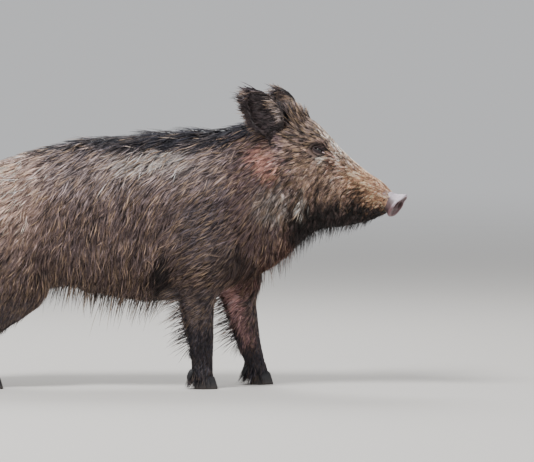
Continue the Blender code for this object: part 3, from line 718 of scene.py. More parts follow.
class Finish:
    """A material in the making: a Principled surface, whose nodes come one at a time from node()."""

    def __init__(self, name, roughness, **constants):
        self.material = bpy.data.materials.new(name)
        self.material.use_nodes = True
        self.tree = self.material.node_tree
        self.surface = self.tree.nodes["Principled BSDF"]
        self.surface.inputs["Roughness"].default_value = roughness
        for socket, value in constants.items():
            self.surface.inputs[socket.replace("_", " ")].default_value = value

    def node(self, kind, settings=None, inputs=None, output=0):
        node = self.tree.nodes.new("ShaderNode" + kind)
        for key, value in (settings or {}).items():
            if key == "stops":
                ramp = node.color_ramp
                while len(ramp.elements) < len(value):
                    ramp.elements.new(0.5)
                for element, (place, colour) in zip(ramp.elements, value):
                    element.position, element.color = place, (*colour, 1.0)
            else:
                setattr(node, key, value)
        for key, value in (inputs or {}).items():
            plug(self.tree, node.inputs[key], value)
        return Wire(self.tree, node.outputs[output])

    def feed(self, socket, wire):
        plug(self.tree, self.surface.inputs[socket], wire)

    def noise(self, place, scale, detail):
        """Soft noise over a place, with so many finer octaves in it."""
        return self.node("TexNoise", {}, {"Vector": place, "Scale": scale, "Detail": detail})

    def ramped(self, value, start, end, low, high, how="LINEAR"):
        """The value mapped from start and end to low and high, and no further."""
        ends = {"From Min": start, "From Max": end, "To Min": low, "To Max": high}
        return self.node("MapRange", {"interpolation_type": how}, {"Value": value, **ends})

    def painted(self, layer, noise, low, high):
        """Base colour from the mesh's own colours, times low where the noise is under 0.3 and high over 0.7."""
        tint = self.node("Attribute", {"attribute_name": layer})
        gain = self.ramped(noise, 0.3, 0.7, low, high)
        self.feed("Base Color", self.node("VectorMath", {"operation": "SCALE"}, {"Vector": tint, "Scale": gain}))

    def bumps(self, height, distance, strength):
        self.feed("Normal", self.node("Bump", {}, {"Height": height, "Distance": distance, "Strength": strength}))


def paint(mesh, name, colours):
    """Stores one colour for each point of the mesh."""
    layer = mesh.color_attributes.new(name, "FLOAT_COLOR", "POINT")
    four = np.ones((len(colours), 4), np.float32)
    four[:, :3] = colours
    layer.data.foreach_set("color", four.ravel())


hide_normals = read(hide_mesh.vertex_normals, "vector")
hide_colour = markings(hide_points, hide_normals, hide_kind)
station, side, height, turn = measures(hide_points)
# under the coat the hide is darker, the more so the deeper the coat: painted shade that shows between the bristles;
# round the eyes it is bare
shade_between_bristles = np.interp(coat_depth(station, side, height), (2, 5, 12), (0.72, 0.5, 0.36))[:, None]
hide_colour = hide_colour * np.where(np.isin(hide_kind, TEAR_KINDS)[:, None], 1.0, shade_between_bristles)
for middle, along, over, looks in eyes.values():
    a, o, out = in_frame(hide_points, middle, along, over, looks)
    ours = (out > -6) * (hide_kind < TEAR_KINDS[0])
    hide_colour = layered(
        hide_colour,
        (BARE_LID * 0.6, ease(np.hypot(a / 22.0, o / 13.0), 1.0, 0.55) * ours),
        (LID_EDGE, 0.85 * (ease(np.hypot(a / 18.5, o / 8.8), 1.05, 0.8) * ours)),
        # painted shade along the upper lid's crease
        (LID_EDGE, 0.85 * (bell(np.hypot(a / 19.5, o / 9.8), 1, 0.1) * ease(o, -2, 3) * ours)),
    )
# and it is paler where the nose disc's collar runs into it on top: a painted highlight, like the collar's top
DISC_RIM_HIGHLIGHT = shade(198, 186, 196)
nose_out, nose_up = in_frame(hide_points, disc_middle, disc_facing, disc_up)
disc_top_highlight = ease(nose_out, -47, -33) * ease(nose_up, 0, 12) * (hide_kind == 0)
paint(hide_mesh, "hide_colour", layered(hide_colour, (DISC_RIM_HIGHLIGHT * 0.9, disc_top_highlight)))

hide_finish = Finish("hide", 0.62, Specular_IOR_Level=0.35)
place = hide_finish.node("TexCoord", output=3)
pores = hide_finish.noise(place, 900.0, 3.0)
folds = hide_finish.node("TexVoronoi", {"feature": "DISTANCE_TO_EDGE"}, {"Vector": place, "Scale": 210.0})
hide_finish.painted("hide_colour", hide_finish.noise(place, 420.0, 2.0), 0.72, 1.25)
hide_finish.feed("Roughness", pores * 0.25 + 0.48)
hide_finish.bumps(pores * 0.5 + folds * 0.5, 0.0012, 0.6)
hide_mesh.materials.append(hide_finish.material)
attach(hide, "root")
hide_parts(*FLESH, "ear_left", "ear_right")

# ---------------------------------------------------------------- the coat
# Coarse bristles over the whole hide.  Each is a closed three-sided spike, dark at its root and pale at
# its tip; neighbours lean together into locks.  The tables give how the coat lies and how long it is.
COAT_LIE = {  # degrees below straight back, from the ridge to the belly
    -620: (40, 42, 45, 50, 60),
    -450: (38, 38, 38, 42, 60),
    -330: (42, 46, 58, 72, 80),
    -180: (40, 54, 76, 84, 76),
    -40: (38, 50, 68, 78, 72),
    60: (32, 40, 30, 22, 20),
    180: (30, 38, 30, 34, 62),
    260: (22, 35, 48, 80, 104),
    300: (-34, 14, 45, 77, 101),
    345: (-52, -4, 42, 73, 96),
    400: (-28, 12, 50, 74, 88),
    480: (-30, 14, 50, 68, 76),
    560: (-25, 0, 22, 40, 40),
}
COAT_LENGTH = {  # mm, from the ridge to the belly
    -620: (45, 45, 45, 45, 50),
    -450: (55, 48, 44, 42, 40),
    -330: (60, 50, 44, 42, 52),
    -180: (72, 50, 44, 44, 58),
    -40: (82, 52, 44, 44, 58),
    60: (88, 50, 42, 38, 46),
    180: (88, 48, 38, 38, 48),
    260: (74, 38, 32, 38, 46),
    300: (62, 36, 29, 34, 42),
    345: (52, 30, 25, 30, 36),
    375: (30, 24, 23, 29, 34),
    400: (17, 16, 20, 27, 32),
    480: (10, 11, 18, 22, 22),
    560: (5, 6, 8, 11, 13),
}
FRINGE_LIE, FORELOCK_LIE, TAIL_LIE = 13, -72, 92
FRINGE_LENGTH, FORELOCK_LENGTH, WHISKERS_LONGER = 48, 50, 14
TUFTS = 158000
COAT_PIECES = 8
dice = np.random.default_rng(41)

hide_mesh.calc_loop_triangles()
corners = read(hide_mesh.loop_triangles, "vertices", 3, int)
corner_points = hide_points[corners]
face_middle = corner_points.mean(axis=1)
face_cross = np.cross(corner_points[:, 1] - corner_points[:, 0], corner_points[:, 2] - corner_points[:, 0])
face_area = np.linalg.norm(face_cross, axis=1) / 2


def combed(points, normals, kind):
    """Length (mm) and unit direction of the coat at each root, how freely it hangs there, and how much of it does.

    The tables' values give way to those of the legs, of the fringe behind them, of the hair that drapes the
    claws, and of the forelock, whiskers, tail and ears, each by its own share."""
    station, side, height, turn = measures(points)
    drop = drop_at(station, height)
    angle = over_body(COAT_LIE, station, drop)
    length = over_body(COAT_LENGTH, station, drop)
    leg = leg_share(station, side, height)
    fore = station > -100
    fore_angle = np.interp(height, (60, 120, 190, 240), (84, 80, 40, 10))
    hind_angle = np.interp(height, (80, 150, 250, 330), (84, 72, 56, 44))
    angle = blend(angle, np.where(fore, fore_angle, hind_angle), leg)
    leg_length = np.interp(height, (20, 50, 68, 120, 200, 290), (27, 24, 11, 13, 24, 34))
    length = blend(length, leg_length, leg)
    fringe = leg * ease(-normals[:, 0], 0.2, 0.7) * ease(height, 84, 130) * np.where(fore, 1.0, 0.35)
    angle = blend(angle, FRINGE_LIE, fringe)
    length = length + (FRINGE_LENGTH - length) * 0.9 * fringe
    drape = leg * ease(height, 70, 52)
    forelock = ease(drop, 0.20, 0.09) * ease(station, 280, 306) * ease(station, 394, 352)
    whiskers = blot(station, height, (367, 496), (7, 25), -14)
    angle = blend(angle, FORELOCK_LIE, forelock)
    length = length + WHISKERS_LONGER * whiskers + (FORELOCK_LENGTH - length) * forelock
    loose = 0.13 + 0.2 * fringe + 0.87 * drape + 0.75 * forelock + 0.4 * whiskers
    tail = tail_share(station, side, height)
    angle = blend(angle, TAIL_LIE, tail)
    length = blend(length, np.interp(height, (395, 420, 470), (66, 26, 16)), tail)
    turns = np.radians(angle)
    sideways = np.sign(side) * 0.35 * ease(drop, 0.16, 0.02) * (station < 380)
    way = np.stack([
        -np.cos(turns) * np.cos(turn) + sideways * np.sin(turn),
        np.cos(turns) * np.sin(turn) + sideways * np.cos(turn),
        -np.sin(turns),
    ], axis=1) + normals * (0.6 * drape + 0.5 * whiskers)[:, None]
    way = unit(way)
    freely = np.maximum(ease((way * normals).sum(axis=1), 0.2, 0.65), tail * ease(height, 440, 405))
    freely = np.maximum(freely, 0.9 * forelock)
    loose = np.maximum(loose, tail)
    for number, hand in enumerate(SIDES.values()):
        root, ear_length, axis, chord, facing = ear_ways(hand)
        mine = kind == EAR_KIND + number
        up_ear, front = in_frame(points, root, axis, chord * hand)
        up_ear = np.clip(up_ear / ear_length, 0, 1)
        hollow = ease(normals @ facing, -0.1, 0.3)
        rising = np.interp(up_ear, (0, 0.5, 1), (-0.15, 0.15, 0.8))
        ear_way = unit(axis * rising[:, None] - ahead + facing * (0.25 * hollow)[:, None])
        way = np.where(mine[:, None], ear_way, way)
        length = np.where(mine, np.interp(up_ear, (0, 0.2, 0.6, 1), (24, 36, 40, 58)) * (0.75 + 0.25 * hollow), length)
        freely = np.where(mine, np.maximum(ease(front, -4, -22), ease(up_ear, 0.76, 0.9)), freely)
        loose = np.where(mine, 0.85, loose)
    return length, way, freely, loose


# how many bristles each face of the hide wants: fewer where they are long, none on the disc, claws and lids' edges
density_length = combed(face_middle, unit(face_cross), np.zeros(len(face_middle), int))[0]
face_kind = hide_kind[corners[:, 0]]
station, side, height, turn = measures(face_middle)
spacing = 0.85 + 0.068 * np.clip(density_length, 4, 62)
spacing *= 1 - 0.2 * ease(station, 240, 310)
spacing = np.where(face_kind >= EAR_KIND, 2.0, spacing)
wanted = face_area / spacing**2
nose_out, nose_up = in_frame(face_middle, disc_middle, disc_facing, disc_up)
wanted *= (nose_out < -8 - 26 * ease(nose_up, 4, 20)) & ((off_collar(face_middle) > 1.0) | (nose_out < -50))
wanted *= (height > 26) & ~np.isin(face_kind, TEAR_KINDS)
for number, (middle, along, over, looks) in enumerate(eyes.values()):
    a, o, out = in_frame(face_middle, middle, along, over, looks)
    reach = np.hypot(a / LID_REACH[0], o / LID_REACH[1])
    close = (out > -12) & (out < 40)
    on_lid = close & (face_kind == LID_KIND + number)
    wanted *= ~(close & (face_kind == 0) & (reach < 0.93))
    wanted *= ~(on_lid & ((reach < 0.66) | (reach > 0.97)))
    wanted = np.where(on_lid, wanted * 1.2, wanted)
running = np.cumsum(wanted)
picks = (np.arange(TUFTS) + dice.random(TUFTS)) * running[-1] / TUFTS
face = np.searchsorted(running, picks)
r1, r2 = np.sqrt(dice.random(TUFTS)), dice.random(TUFTS)
weights = np.stack([1 - r1, r1 * (1 - r2), r1 * r2], axis=1)
roots = (corner_points[face] * weights[..., None]).sum(axis=1)
root_normals = unit((hide_normals[corners[face]] * weights[..., None]).sum(axis=1))
root_kind = face_kind[face]
on_ear = root_kind >= EAR_KIND
length, way, freely, loose = combed(roots, root_normals, root_kind)
station, side, height, turn = measures(roots)
drop = drop_at(station, height)
depth = np.where(on_ear, 5.0, coat_depth(station, side, height))
hangs = dice.random(TUFTS) < loose
freely = np.where(hangs, freely, 0.12 * freely)
hanging_share = np.where(hangs, freely, 0.0) * (root_kind == 0)


def lock_of(points, size, salt):
    """The number of the nearest of some points scattered one to each cell of a lattice of this size (mm)."""
    at = points * 1000.0 / size + 500.0
    cell = np.floor(at).astype(np.int64)
    best = np.full(len(at), np.inf)
    found = np.zeros(len(at), np.int64)
    for dx in (-1, 0, 1):
        for dy in (-1, 0, 1):
            for dz in (-1, 0, 1):
                other = cell + (dx, dy, dz)
                number = corner_number(other)
                spot = other + np.stack([scramble(number, salt + k) for k in range(3)], axis=1)
                gap = ((at - spot) ** 2).sum(axis=1)
                nearer = gap < best
                best = np.where(nearer, gap, best)
                found = np.where(nearer, number, found)
    return found


lock = np.zeros(TUFTS, np.int64)
LOCK_SIZES = ((0, 5.0), (11, 6.0), (24, 8.5), (40, 11.0))  # from this length on, mm: size of a lock
for rank, (longer, size) in enumerate(LOCK_SIZES):
    mine = length >= longer
    lock[mine] = lock_of(roots[mine] + root_normals[mine] * size / 1000.0, size, 10 + rank * 5) * 7 + rank
lock = np.unique(lock, return_inverse=True)[1]
locks = lock.max() + 1
members = np.bincount(lock, minlength=locks)[:, None].astype(float)

# how each lock and each bristle departs from the rule
lock_turn, own_turn = dice.normal(0, 13, locks)[lock], dice.normal(0, 8, TUFTS)
lock_long, own_long = np.exp(dice.normal(0, 0.12, locks))[lock], np.exp(dice.normal(0, 0.16, TUFTS))
lock_rise, own_rise = dice.uniform(0.74, 1.02, locks)[lock], dice.uniform(0.8, 1.1, TUFTS)
wave, wave_turn = dice.normal(0, 0.035, locks)[lock], dice.uniform(0, 2 * np.pi, locks)[lock]
length = length * lock_long * own_long
straggler = dice.random(TUFTS) < np.where(length > 20, 0.03, 0.01)
length = np.where(straggler, length * 1.25, length) * (1 + 0.2 * hanging_share * (drop > 0.6))

tangent = way - root_normals * (way * root_normals).sum(axis=1)[:, None]
tangent = unit(tangent + 0.12 * (np.array((0, 0, -1.0)) + root_normals * root_normals[:, 2:3]))
swing = np.radians(lock_turn + own_turn)[:, None]
tangent = unit(tangent * np.cos(swing) + np.cross(root_normals, tangent) * np.sin(swing))
rise = np.clip(depth / np.maximum(length, 1) * 0.75, 0.06, 0.55)
rise = np.maximum((way * root_normals).sum(axis=1) * freely, rise)
free_way = unit(tangent * np.sqrt(np.maximum(1 - rise**2, 0.05))[:, None] + root_normals * rise[:, None])

# how high the coat stands: flatter under the jaw and in the groin, in uneven humps along the mane
lift = lock_rise * own_rise * np.where(straggler, 1.2, 1.0)
lift *= 1 - 0.5 * ease(drop, 0.8, 1.0) * ease(station, 320, 370) - 0.6 * blot(station, height, (-262, 262), (44, 44))
crest = ease(drop, 0.14, 0.03) * ease(station, -330, -160) * ease(station, 335, 290)
lift *= 1 + crest * (0.2 + 0.25 * ease(station, 20, 110) + 1.1 * (cloud(roots, 60, 30) - 0.5))

hide_tree = BVHTree.FromPolygons(hide_points.tolist(), corners.tolist())
STEPS = (0.0, 0.36, 0.7, 1.0)


def on_hide(points):
    """The nearest point of the hide to each point, and the way out of it there."""
    found = [hide_tree.find_nearest(p)[:2] for p in points.tolist()]
    return [np.array(part) for part in zip(*found)]


# inside an ear's hollow the path is sought from in front of it
before = np.zeros((TUFTS, 3))
for number, hand in enumerate(SIDES.values()):
    facing = ear_ways(hand)[-1]
    before += np.outer(0.012 * (root_kind == EAR_KIND + number) * (root_normals @ facing > 0), facing)

# a bristle that lies follows the hide at its own height over it; one that hangs goes its free way and droops
across = np.cross(root_normals, tangent)
paths = np.empty((TUFTS, len(STEPS), 3))
for number, step in enumerate(STEPS):
    guess = roots + tangent * (length * step / 1000.0)[:, None] + before
    if step:
        near, out = on_hide(guess)
        out = np.where(((out * root_normals).sum(axis=1) > 0.2)[:, None], out, root_normals)
    else:
        near, out = roots, root_normals
    high = depth * lift * step**0.62
    lying = near + out * (high / 1000.0)[:, None]
    droop = np.array((0, 0, -1.0)) * (length * np.where(on_ear, 0.02, 0.16) * step**2 / 1000.0)[:, None]
    hanging = roots + free_way * (length * step / 1000.0)[:, None] + droop
    path = blend(lying, hanging, freely[:, None])
    path += across * (np.sin(step * 4.0 + wave_turn) * wave * length * step / 1000.0)[:, None]
    paths[:, number] = path

# the members of a lock lean to its middle, most at their tips
gather = np.interp(length, (6, 20, 50), (0.24, 0.40, 0.46)) * dice.uniform(0.6, 1.0, TUFTS)
gather *= 1 + 0.55 * ease(station, 240, 330)
gather *= 1 - 0.6 * hanging_share * (drop > 0.5)
for number, step in enumerate(STEPS[1:], 1):
    mean = np.stack([np.bincount(lock, paths[:, number, k], locks) for k in range(3)], axis=1) / members
    paths[:, number] += (mean[lock] - paths[:, number]) * (gather * step**1.4)[:, None]
ROOT_DEEP, FLOOR_GAP = 0.0012, 0.0015  # metres: roots stand in the hide so deep; no bristle is nearer the floor
paths[:, 0] -= root_normals * ROOT_DEEP
paths[..., 2] = np.maximum(paths[..., 2], FLOOR_GAP)

# colour: the markings, darker at the root and paler at the tip, and different from lock to lock
on_head = ease(station, 240, 330)
strays = dice.normal(0, 0.005, (TUFTS, 3)) + dice.normal(0, 0.006, (locks, 3))[lock] * (1 + 0.4 * on_head)[:, None]
# fewer stray over the borders of the small markings: the eye's, the cheek patch's and the whiskers'
straying = ease(from_eyes(roots), 20, 60) * (1 - 0.6 * blot(station, height, (276, 596), (36, 46), 35))
straying *= (1 - 0.85 * blot(station, height, (367, 496), (12, 32), -14)) * (root_kind < LID_KIND)
tuft_colour = markings(roots + strays * straying[:, None], root_normals, root_kind)
brightness = tuft_colour.mean(axis=1)
# streaks of paler and darker bristles that run with the coat, a few millimetres across
lies = unit(way)
HEAD_MIDDLE, TRUNK_MIDDLE = placed(420.0, 0.0, 570.0), np.array((-0.15, 0.0, 0.45))
from_middle = paths[:, 2] - np.where(on_head[:, None] > 0.5, HEAD_MIDDLE, TRUNK_MIDDLE)
from_middle = from_middle - 0.66 * lies * (from_middle * lies).sum(axis=1)[:, None]
streak = 2 * ease(cloud(from_middle, 5.5, 50), 0.34, 0.66) - 1
contrast = (0.09 + 0.56 * on_head + 0.25 * ease(station, 420, 500)) * (root_kind < LID_KIND)
tuft_colour = tuft_colour * np.exp(streak * contrast)[:, None]
lock_light = np.exp(dice.normal(0, 1, locks)[lock] * (0.15 + 0.30 * on_head))
own_light = np.exp(dice.normal(0, 1, TUFTS) * (0.46 + 0.16 * on_head)) * (1 - 0.4 * hanging_share)
own_light = np.where(on_ear, own_light * np.exp(dice.normal(0, 0.3, TUFTS)), own_light)
own_light = np.clip(own_light * lock_light, 0.35, 1.9) / lock_light
fate = np.where(dice.random(TUFTS) < 0.2 + 0.45 * on_head, dice.random(locks)[lock], dice.random(TUFTS))
tip_gain = np.interp(brightness, (0.02, 0.08, 0.3), (1.0, 1.5, 1.35))
PALE_TIP = shade(212, 178, 142)
STEP_TONES = ((0.42, 0.26), (0.72, 0.66), (1.05, 1.2), (1.0, 1.3))  # at each step, on the body and on the head
colours = np.empty((TUFTS, len(STEPS), 3))
for number, (step, (on_trunk_tone, on_head_tone)) in enumerate(zip(STEPS, STEP_TONES)):
    stage = blend(on_trunk_tone, on_head_tone, on_head)
    tone = tuft_colour * (stage * lock_light * own_light)[:, None]
    tone = tone * (1 + (tip_gain - 1) * ease(step, 0.3, 0.9))[:, None]
    pale = (fate > 0.78 - 0.08 * on_head) * ease(step, 0.2, 0.7) * np.interp(brightness, (0.03, 0.09), (0.0, 0.6))
    tone = blend(tone, PALE_TIP, pale[:, None])
    dark = tone * np.interp(length, (6, 18), (0.5, 0.34))[:, None]
    tone = np.where((fate < 0.24 + 0.1 * on_head)[:, None], dark, tone)
    colours[:, number] = np.clip(tone, 0.004, 0.95)


def unwrapped(points, kind):
    """A place on a flat map of the hide for each point: each part is a cylinder rolled out on its own field.

    Body: station by the angle round its axis.  Head, legs and ears have narrower fields beside it."""
    station, side, height, _ = measures(points)
    top, low = outline_at(station)
    about = (np.arctan2(height - (top + low) / 2, side) / (2 * np.pi)) % 1.0
    u = 0.02 + 0.52 * (station + 640) / 980
    v = 0.02 + 0.96 * about
    head = station > 340
    u = np.where(head, 0.57 + 0.19 * (station - 340) / 240, u)
    v = np.where(head, 0.02 + 0.74 * about, v)
    leg = (leg_share(station, side, height) > 0.5) & (height < 300)
    fore = station > -100
    which = np.where(fore, 0, 2) + (side > 0)
    leg_middle = np.where(fore, np.where(side > 0, 225, 90), np.where(side > 0, -540, -480))
    leg_about = (np.arctan2(station - leg_middle, np.abs(side) - 80) / (2 * np.pi)) % 1.0
    u = np.where(leg, 0.79 + 0.18 * height / 300, u)
    v = np.where(leg, 0.01 + 0.245 * which + 0.235 * leg_about, v)
    for number, hand in enumerate(SIDES.values()):
        root, ear_length, axis, chord, facing = ear_ways(hand)
        mine = kind == EAR_KIND + number
        up_ear, across, out = in_frame(points, root, axis, chord, facing)
        ear_about = (np.arctan2(out, across) / (2 * np.pi)) % 1.0
        u = np.where(mine, 0.57 + 0.10 * number + 0.085 * ear_about, u)
        v = np.where(mine, 0.79 + 0.19 * np.clip(up_ear / ear_length, 0, 1), v)
    return np.stack([np.clip(u, 0.01, 0.985), np.clip(v, 0.01, 0.985)], axis=1)


tuft_place = unwrapped(roots, root_kind)
width = np.interp(length, (5, 12, 25, 45, 80), (1.3, 1.6, 1.8, 2.0, 2.4)) * dice.uniform(0.75, 1.25, TUFTS)
width *= 1 - 0.45 * hanging_share
width *= 1 + 0.3 * (fate > 0.7)  # pale bristles are wider
PATCH = 0.0015  # half the width of a tuft's patch on the map


def spikes(chosen, steps):
    """Closed spikes along the chosen paths: a flattened triangle at each step but the last, which is a point.

    At a path point two corners stand half the width to the sides and a little in, and one 0.42 of it outwards."""
    path = paths[chosen][:, steps]
    many, levels = path.shape[:2]
    ahead_way = unit(np.gradient(path, axis=1))
    out = root_normals[chosen][:, None, :]
    across = unit(np.cross(ahead_way, out))
    above = np.cross(across, ahead_way)
    shares = np.array([STEPS[s] for s in steps])
    girth = (width[chosen][:, None] * np.interp(shares, STEPS, (0.8, 1.0, 0.62, 0.0))[None, :] / 1000.0)[..., None]
    ring = np.stack([
        path - across * girth / 2 - above * girth * 0.12,
        path + across * girth / 2 - above * girth * 0.12,
        path + above * girth * 0.42,
    ], axis=2)
    rings = ring[:, :-1].reshape(many, -1, 3)
    points = np.concatenate([rings, path[:, -1:]], axis=1)
    tone = colours[chosen][:, steps]
    tones = np.concatenate([np.repeat(tone[:, :-1], 3, axis=1), tone[:, -1:]], axis=1)
    place = tuft_place[chosen][:, None, :]
    offsets = [((-1, 0, 1)[k] * PATCH, (2 * shares[n] - 1) * PATCH) for n in range(levels - 1) for k in (0, 2, 1)]
    offsets.append((0.0, PATCH))
    maps = place + np.array(offsets)[None]
    rows = []
    for n in range(levels - 2):
        for k in range(3):
            a, b = 3 * n + k, 3 * n + (k + 1) % 3
            rows += [(a, b, b + 3), (a, b + 3, a + 3)]
    last = 3 * (levels - 2)
    rows += [(last, last + 1, last + 3), (last + 1, last + 2, last + 3), (last + 2, last, last + 3), (0, 2, 1)]
    rows = np.array(rows)
    faces = rows[None] + (np.arange(many) * points.shape[1])[:, None, None]
    return points.reshape(-1, 3), tones.reshape(-1, 3), maps.reshape(-1, 2), faces.reshape(-1, 3)


TWO_BENDS, TWO_IF_FREE, ONE_BEND = 54, 24, 17  # mm: a bristle longer than this bends so often
BENDS = {2: [0, 1, 2, 3], 1: [0, 1, 3], 0: [0, 3]}  # the steps that a spike's rings stand at


def coat_piece(name, chosen, finish):
    """One mesh of the chosen tufts: long or hanging ones bend at two places, short ones not at all."""
    long, free = length[chosen], freely[chosen] > 0.5
    bends = np.where((long > TWO_BENDS) | (free & (long > TWO_IF_FREE)), 2, np.where(long > ONE_BEND, 1, 0))
    parts, start = [], 0
    for bend, steps in BENDS.items():
        points, tones, maps, faces = spikes(chosen[bends == bend], steps)
        parts.append((points, tones, maps, faces + start))
        start += len(points)
    points, tones, maps, faces = (np.concatenate(part) for part in zip(*parts))
    mesh = bpy.data.meshes.new(name)
    mesh.vertices.add(len(points))
    mesh.vertices.foreach_set("co", points.astype(np.float32).ravel())
    mesh.loops.add(faces.size)
    mesh.loops.foreach_set("vertex_index", faces.astype(np.int32).ravel())
    mesh.polygons.add(len(faces))
    mesh.polygons.foreach_set("loop_start", np.arange(0, faces.size, 3, dtype=np.int32))
    mesh.update(calc_edges=True)
    mesh.validate()
    mesh.shade_smooth()
    paint(mesh, "coat_colour", tones)
    bake = mesh.uv_layers.new(name="OFBake")
    bake.data.foreach_set("uv", maps[faces.ravel()].astype(np.float32).ravel())
    mesh.materials.append(finish.material)
    piece = shown(name, mesh)
    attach(piece, "root")


bristle = Finish("bristle", 0.5, Specular_IOR_Level=0.35)
bristle.feed("Base Color", bristle.node("Attribute", {"attribute_name": "coat_colour"}))
order = dice.permutation(TUFTS)
for number in range(COAT_PIECES):
    coat_piece(f"coat_{number + 1}", np.sort(order[number::COAT_PIECES]), bristle)

# ---------------------------------------------------------------- the nose disc
# A tough pad of bare, moist skin over gristle at the end of the snout, with a raised rim, two nostrils and
# a groove below them.  Its collar runs back under the hair of the muzzle.
FACE_RINGS, DISC_POINTS = 56, 120
COLLAR_BACK = np.r_[np.linspace(0, 6, 13)[1:], np.linspace(6, 50, 17)[1:]]  # mm from the face to each of its rings
DISC_RINGS = FACE_RINGS + len(COLLAR_BACK)
SQUARER = 2.9  # the power of the outline's superellipse; 2 would be an oval
NOSTRIL_ASIDE, NOSTRIL_ABOVE, NOSTRIL_HALF, NOSTRIL_DEEP = 11.8, 1.0, (7.4, 9.6), 16.0
NOSTRIL_SLANT = 0.25  # the nostrils draw together towards their tops


def disc_surface():
    """Rings from the face's middle out to the rim, then back along the collar, narrower towards the top.

    At a share r of the way out the face lies back by a dish 3.2 (1 - r^4) less a swelling inside the rim, by the
    nostrils' slanted ovals with their raised edges, and by the groove.  The top of the rim leans forward."""
    about = circle(DISC_POINTS)
    cos, sin = np.cos(about), np.sin(about)
    squarer = (np.abs(cos) ** SQUARER + np.abs(sin) ** SQUARER) ** (-1 / SQUARER)
    rows = []
    for r in np.linspace(0.015, 1, FACE_RINGS):
        across, tall = COLLAR[0, 3] * r * squarer * cos, COLLAR[0, 2] * r * squarer * sin + COLLAR[0, 1]
        back = 3.2 * (1 - r**4) - 1.2 * bell(r, 0.86, 0.09)
        for hand in (-1, 1):
            above = tall - NOSTRIL_ABOVE
            beside = across - hand * NOSTRIL_ASIDE + hand * NOSTRIL_SLANT * above
            oval = np.hypot(beside / NOSTRIL_HALF[0], above / NOSTRIL_HALF[1])
            back = back + NOSTRIL_DEEP * ease(oval, 1.14, 0.58) - 1.0 * bell(oval, 1.45, 0.28)
        back = back + 1.3 * (bell(across, 0, 1.6) * ease(tall, 0, -8))
        wrinkles = 0.35 * np.sin(tall * 1.1 + 0.6 * np.sin(across * 0.5))
        rows.append((back + wrinkles * ease(np.abs(across), 2, 6) * (1 - r), across, tall))
    for at in COLLAR_BACK:
        rise, high, wide = collar_at(at)
        ripple = 0.35 * np.sin(at * 1.5 + 1.3 * sin) * ease(at, 4, 8)
        lip = 1.6 * ease(sin, 0.3, 0.9) * bell(at, 3, 3.5)
        across, tall = (wide + ripple) * squarer * cos, rise + (high + ripple + lip) * squarer * sin
        rows.append((np.full_like(cos, at), across, tall))
    back, across, tall = (np.array(part).ravel() for part in zip(*rows))
    across = across * (1 - 0.5 * ease(tall, -6, 38) * ease(back, 34, 12))
    lean = 5.0 * ease(tall / 30.0, 0.3, 1.0) * ease(back, 14, 3)
    return point_at(disc_middle, (disc_facing, disc_left, disc_up), -back + lean, across, tall), back, tall


def piece_of(name, points, faces, finish, node_slot, colours=None, *stands_for):
    """A smooth mesh object, painted if it has colours, that rides on the body and may stand for CAD nodes."""
    mesh = bpy.data.meshes.new(name)
    mesh.from_pydata(points, [], faces)
    mesh.shade_smooth()
    mesh.update()
    if colours is not None:
        paint(mesh, "tint", colours)
    mesh.materials.append(finish.material)
    made = shown(name, mesh)
    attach(made, "root")
    if stands_for:
        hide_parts(*stands_for)


# the face's colour is painted shade, darker than the lit rim above it, and so are the collar's sides and underside
DISC_FACE_SHADED, DISC_SKIN, DISC_CLOUD, NOSTRIL_SHADOW = shade(72, 46, 48), shade(112, 82, 84), shade(90, 66, 74), shade(9, 5, 7)
COLLAR_SIDES_SHADE, COLLAR_BELOW_SHADE = shade(88, 70, 70), shade(48, 37, 40)
points, back, tall = disc_surface()
ring = np.repeat(np.arange(DISC_RINGS), DISC_POINTS)
on_collar = (ring >= FACE_RINGS).astype(float)
out_share = np.where(on_collar > 0, 1.0, ring / (FACE_RINGS - 1.0))
disc_colour = layered(
    DISC_FACE_SHADED,
    (DISC_SKIN, ease(out_share, 0.78, 0.92)),
    # painted highlight on the rim and the top of the collar, where the light from above falls
    (DISC_RIM_HIGHLIGHT, ease(out_share, 0.9, 0.98) * ease(tall, -12, 14) * ease(back, 44, 30)),
    (DISC_CLOUD, 0.5 * cloud(points, 5, 9) * (1 - 0.8 * on_collar)),
    # painted shadow deep in the nostrils
    (NOSTRIL_SHADOW, ease(back, 3.5, 4.9) * (1 - on_collar)),
    # painted shade on the collar's sides, and more under it
    (COLLAR_SIDES_SHADE, 0.9 * ease(back, 3, 7) * ease(tall, 20, 6)),
    (COLLAR_BELOW_SHADE, 0.8 * ease(back, 3, 7) * ease(tall, -6, -20)),
)
disc_finish = Finish("nose_skin", 0.4, Specular_IOR_Level=0.35, Coat_Weight=0.08, Coat_Roughness=0.3)
place = disc_finish.node("TexCoord", output=3)
pebbles = disc_finish.node("TexVoronoi", {"feature": "DISTANCE_TO_EDGE"}, {"Vector": place, "Scale": 620.0})
damp = disc_finish.noise(place, 160.0, 3.0)
disc_finish.painted("tint", damp, 0.82, 1.12)
disc_finish.feed("Roughness", damp * 0.35 + 0.22)
disc_finish.bumps(pebbles * 0.7 + damp * 0.5, 0.0008, 0.7)
disc_faces = other_way(tube_faces(DISC_RINGS, DISC_POINTS))
piece_of("nose_disc", points, disc_faces, disc_finish, "nose_skin", disc_colour)

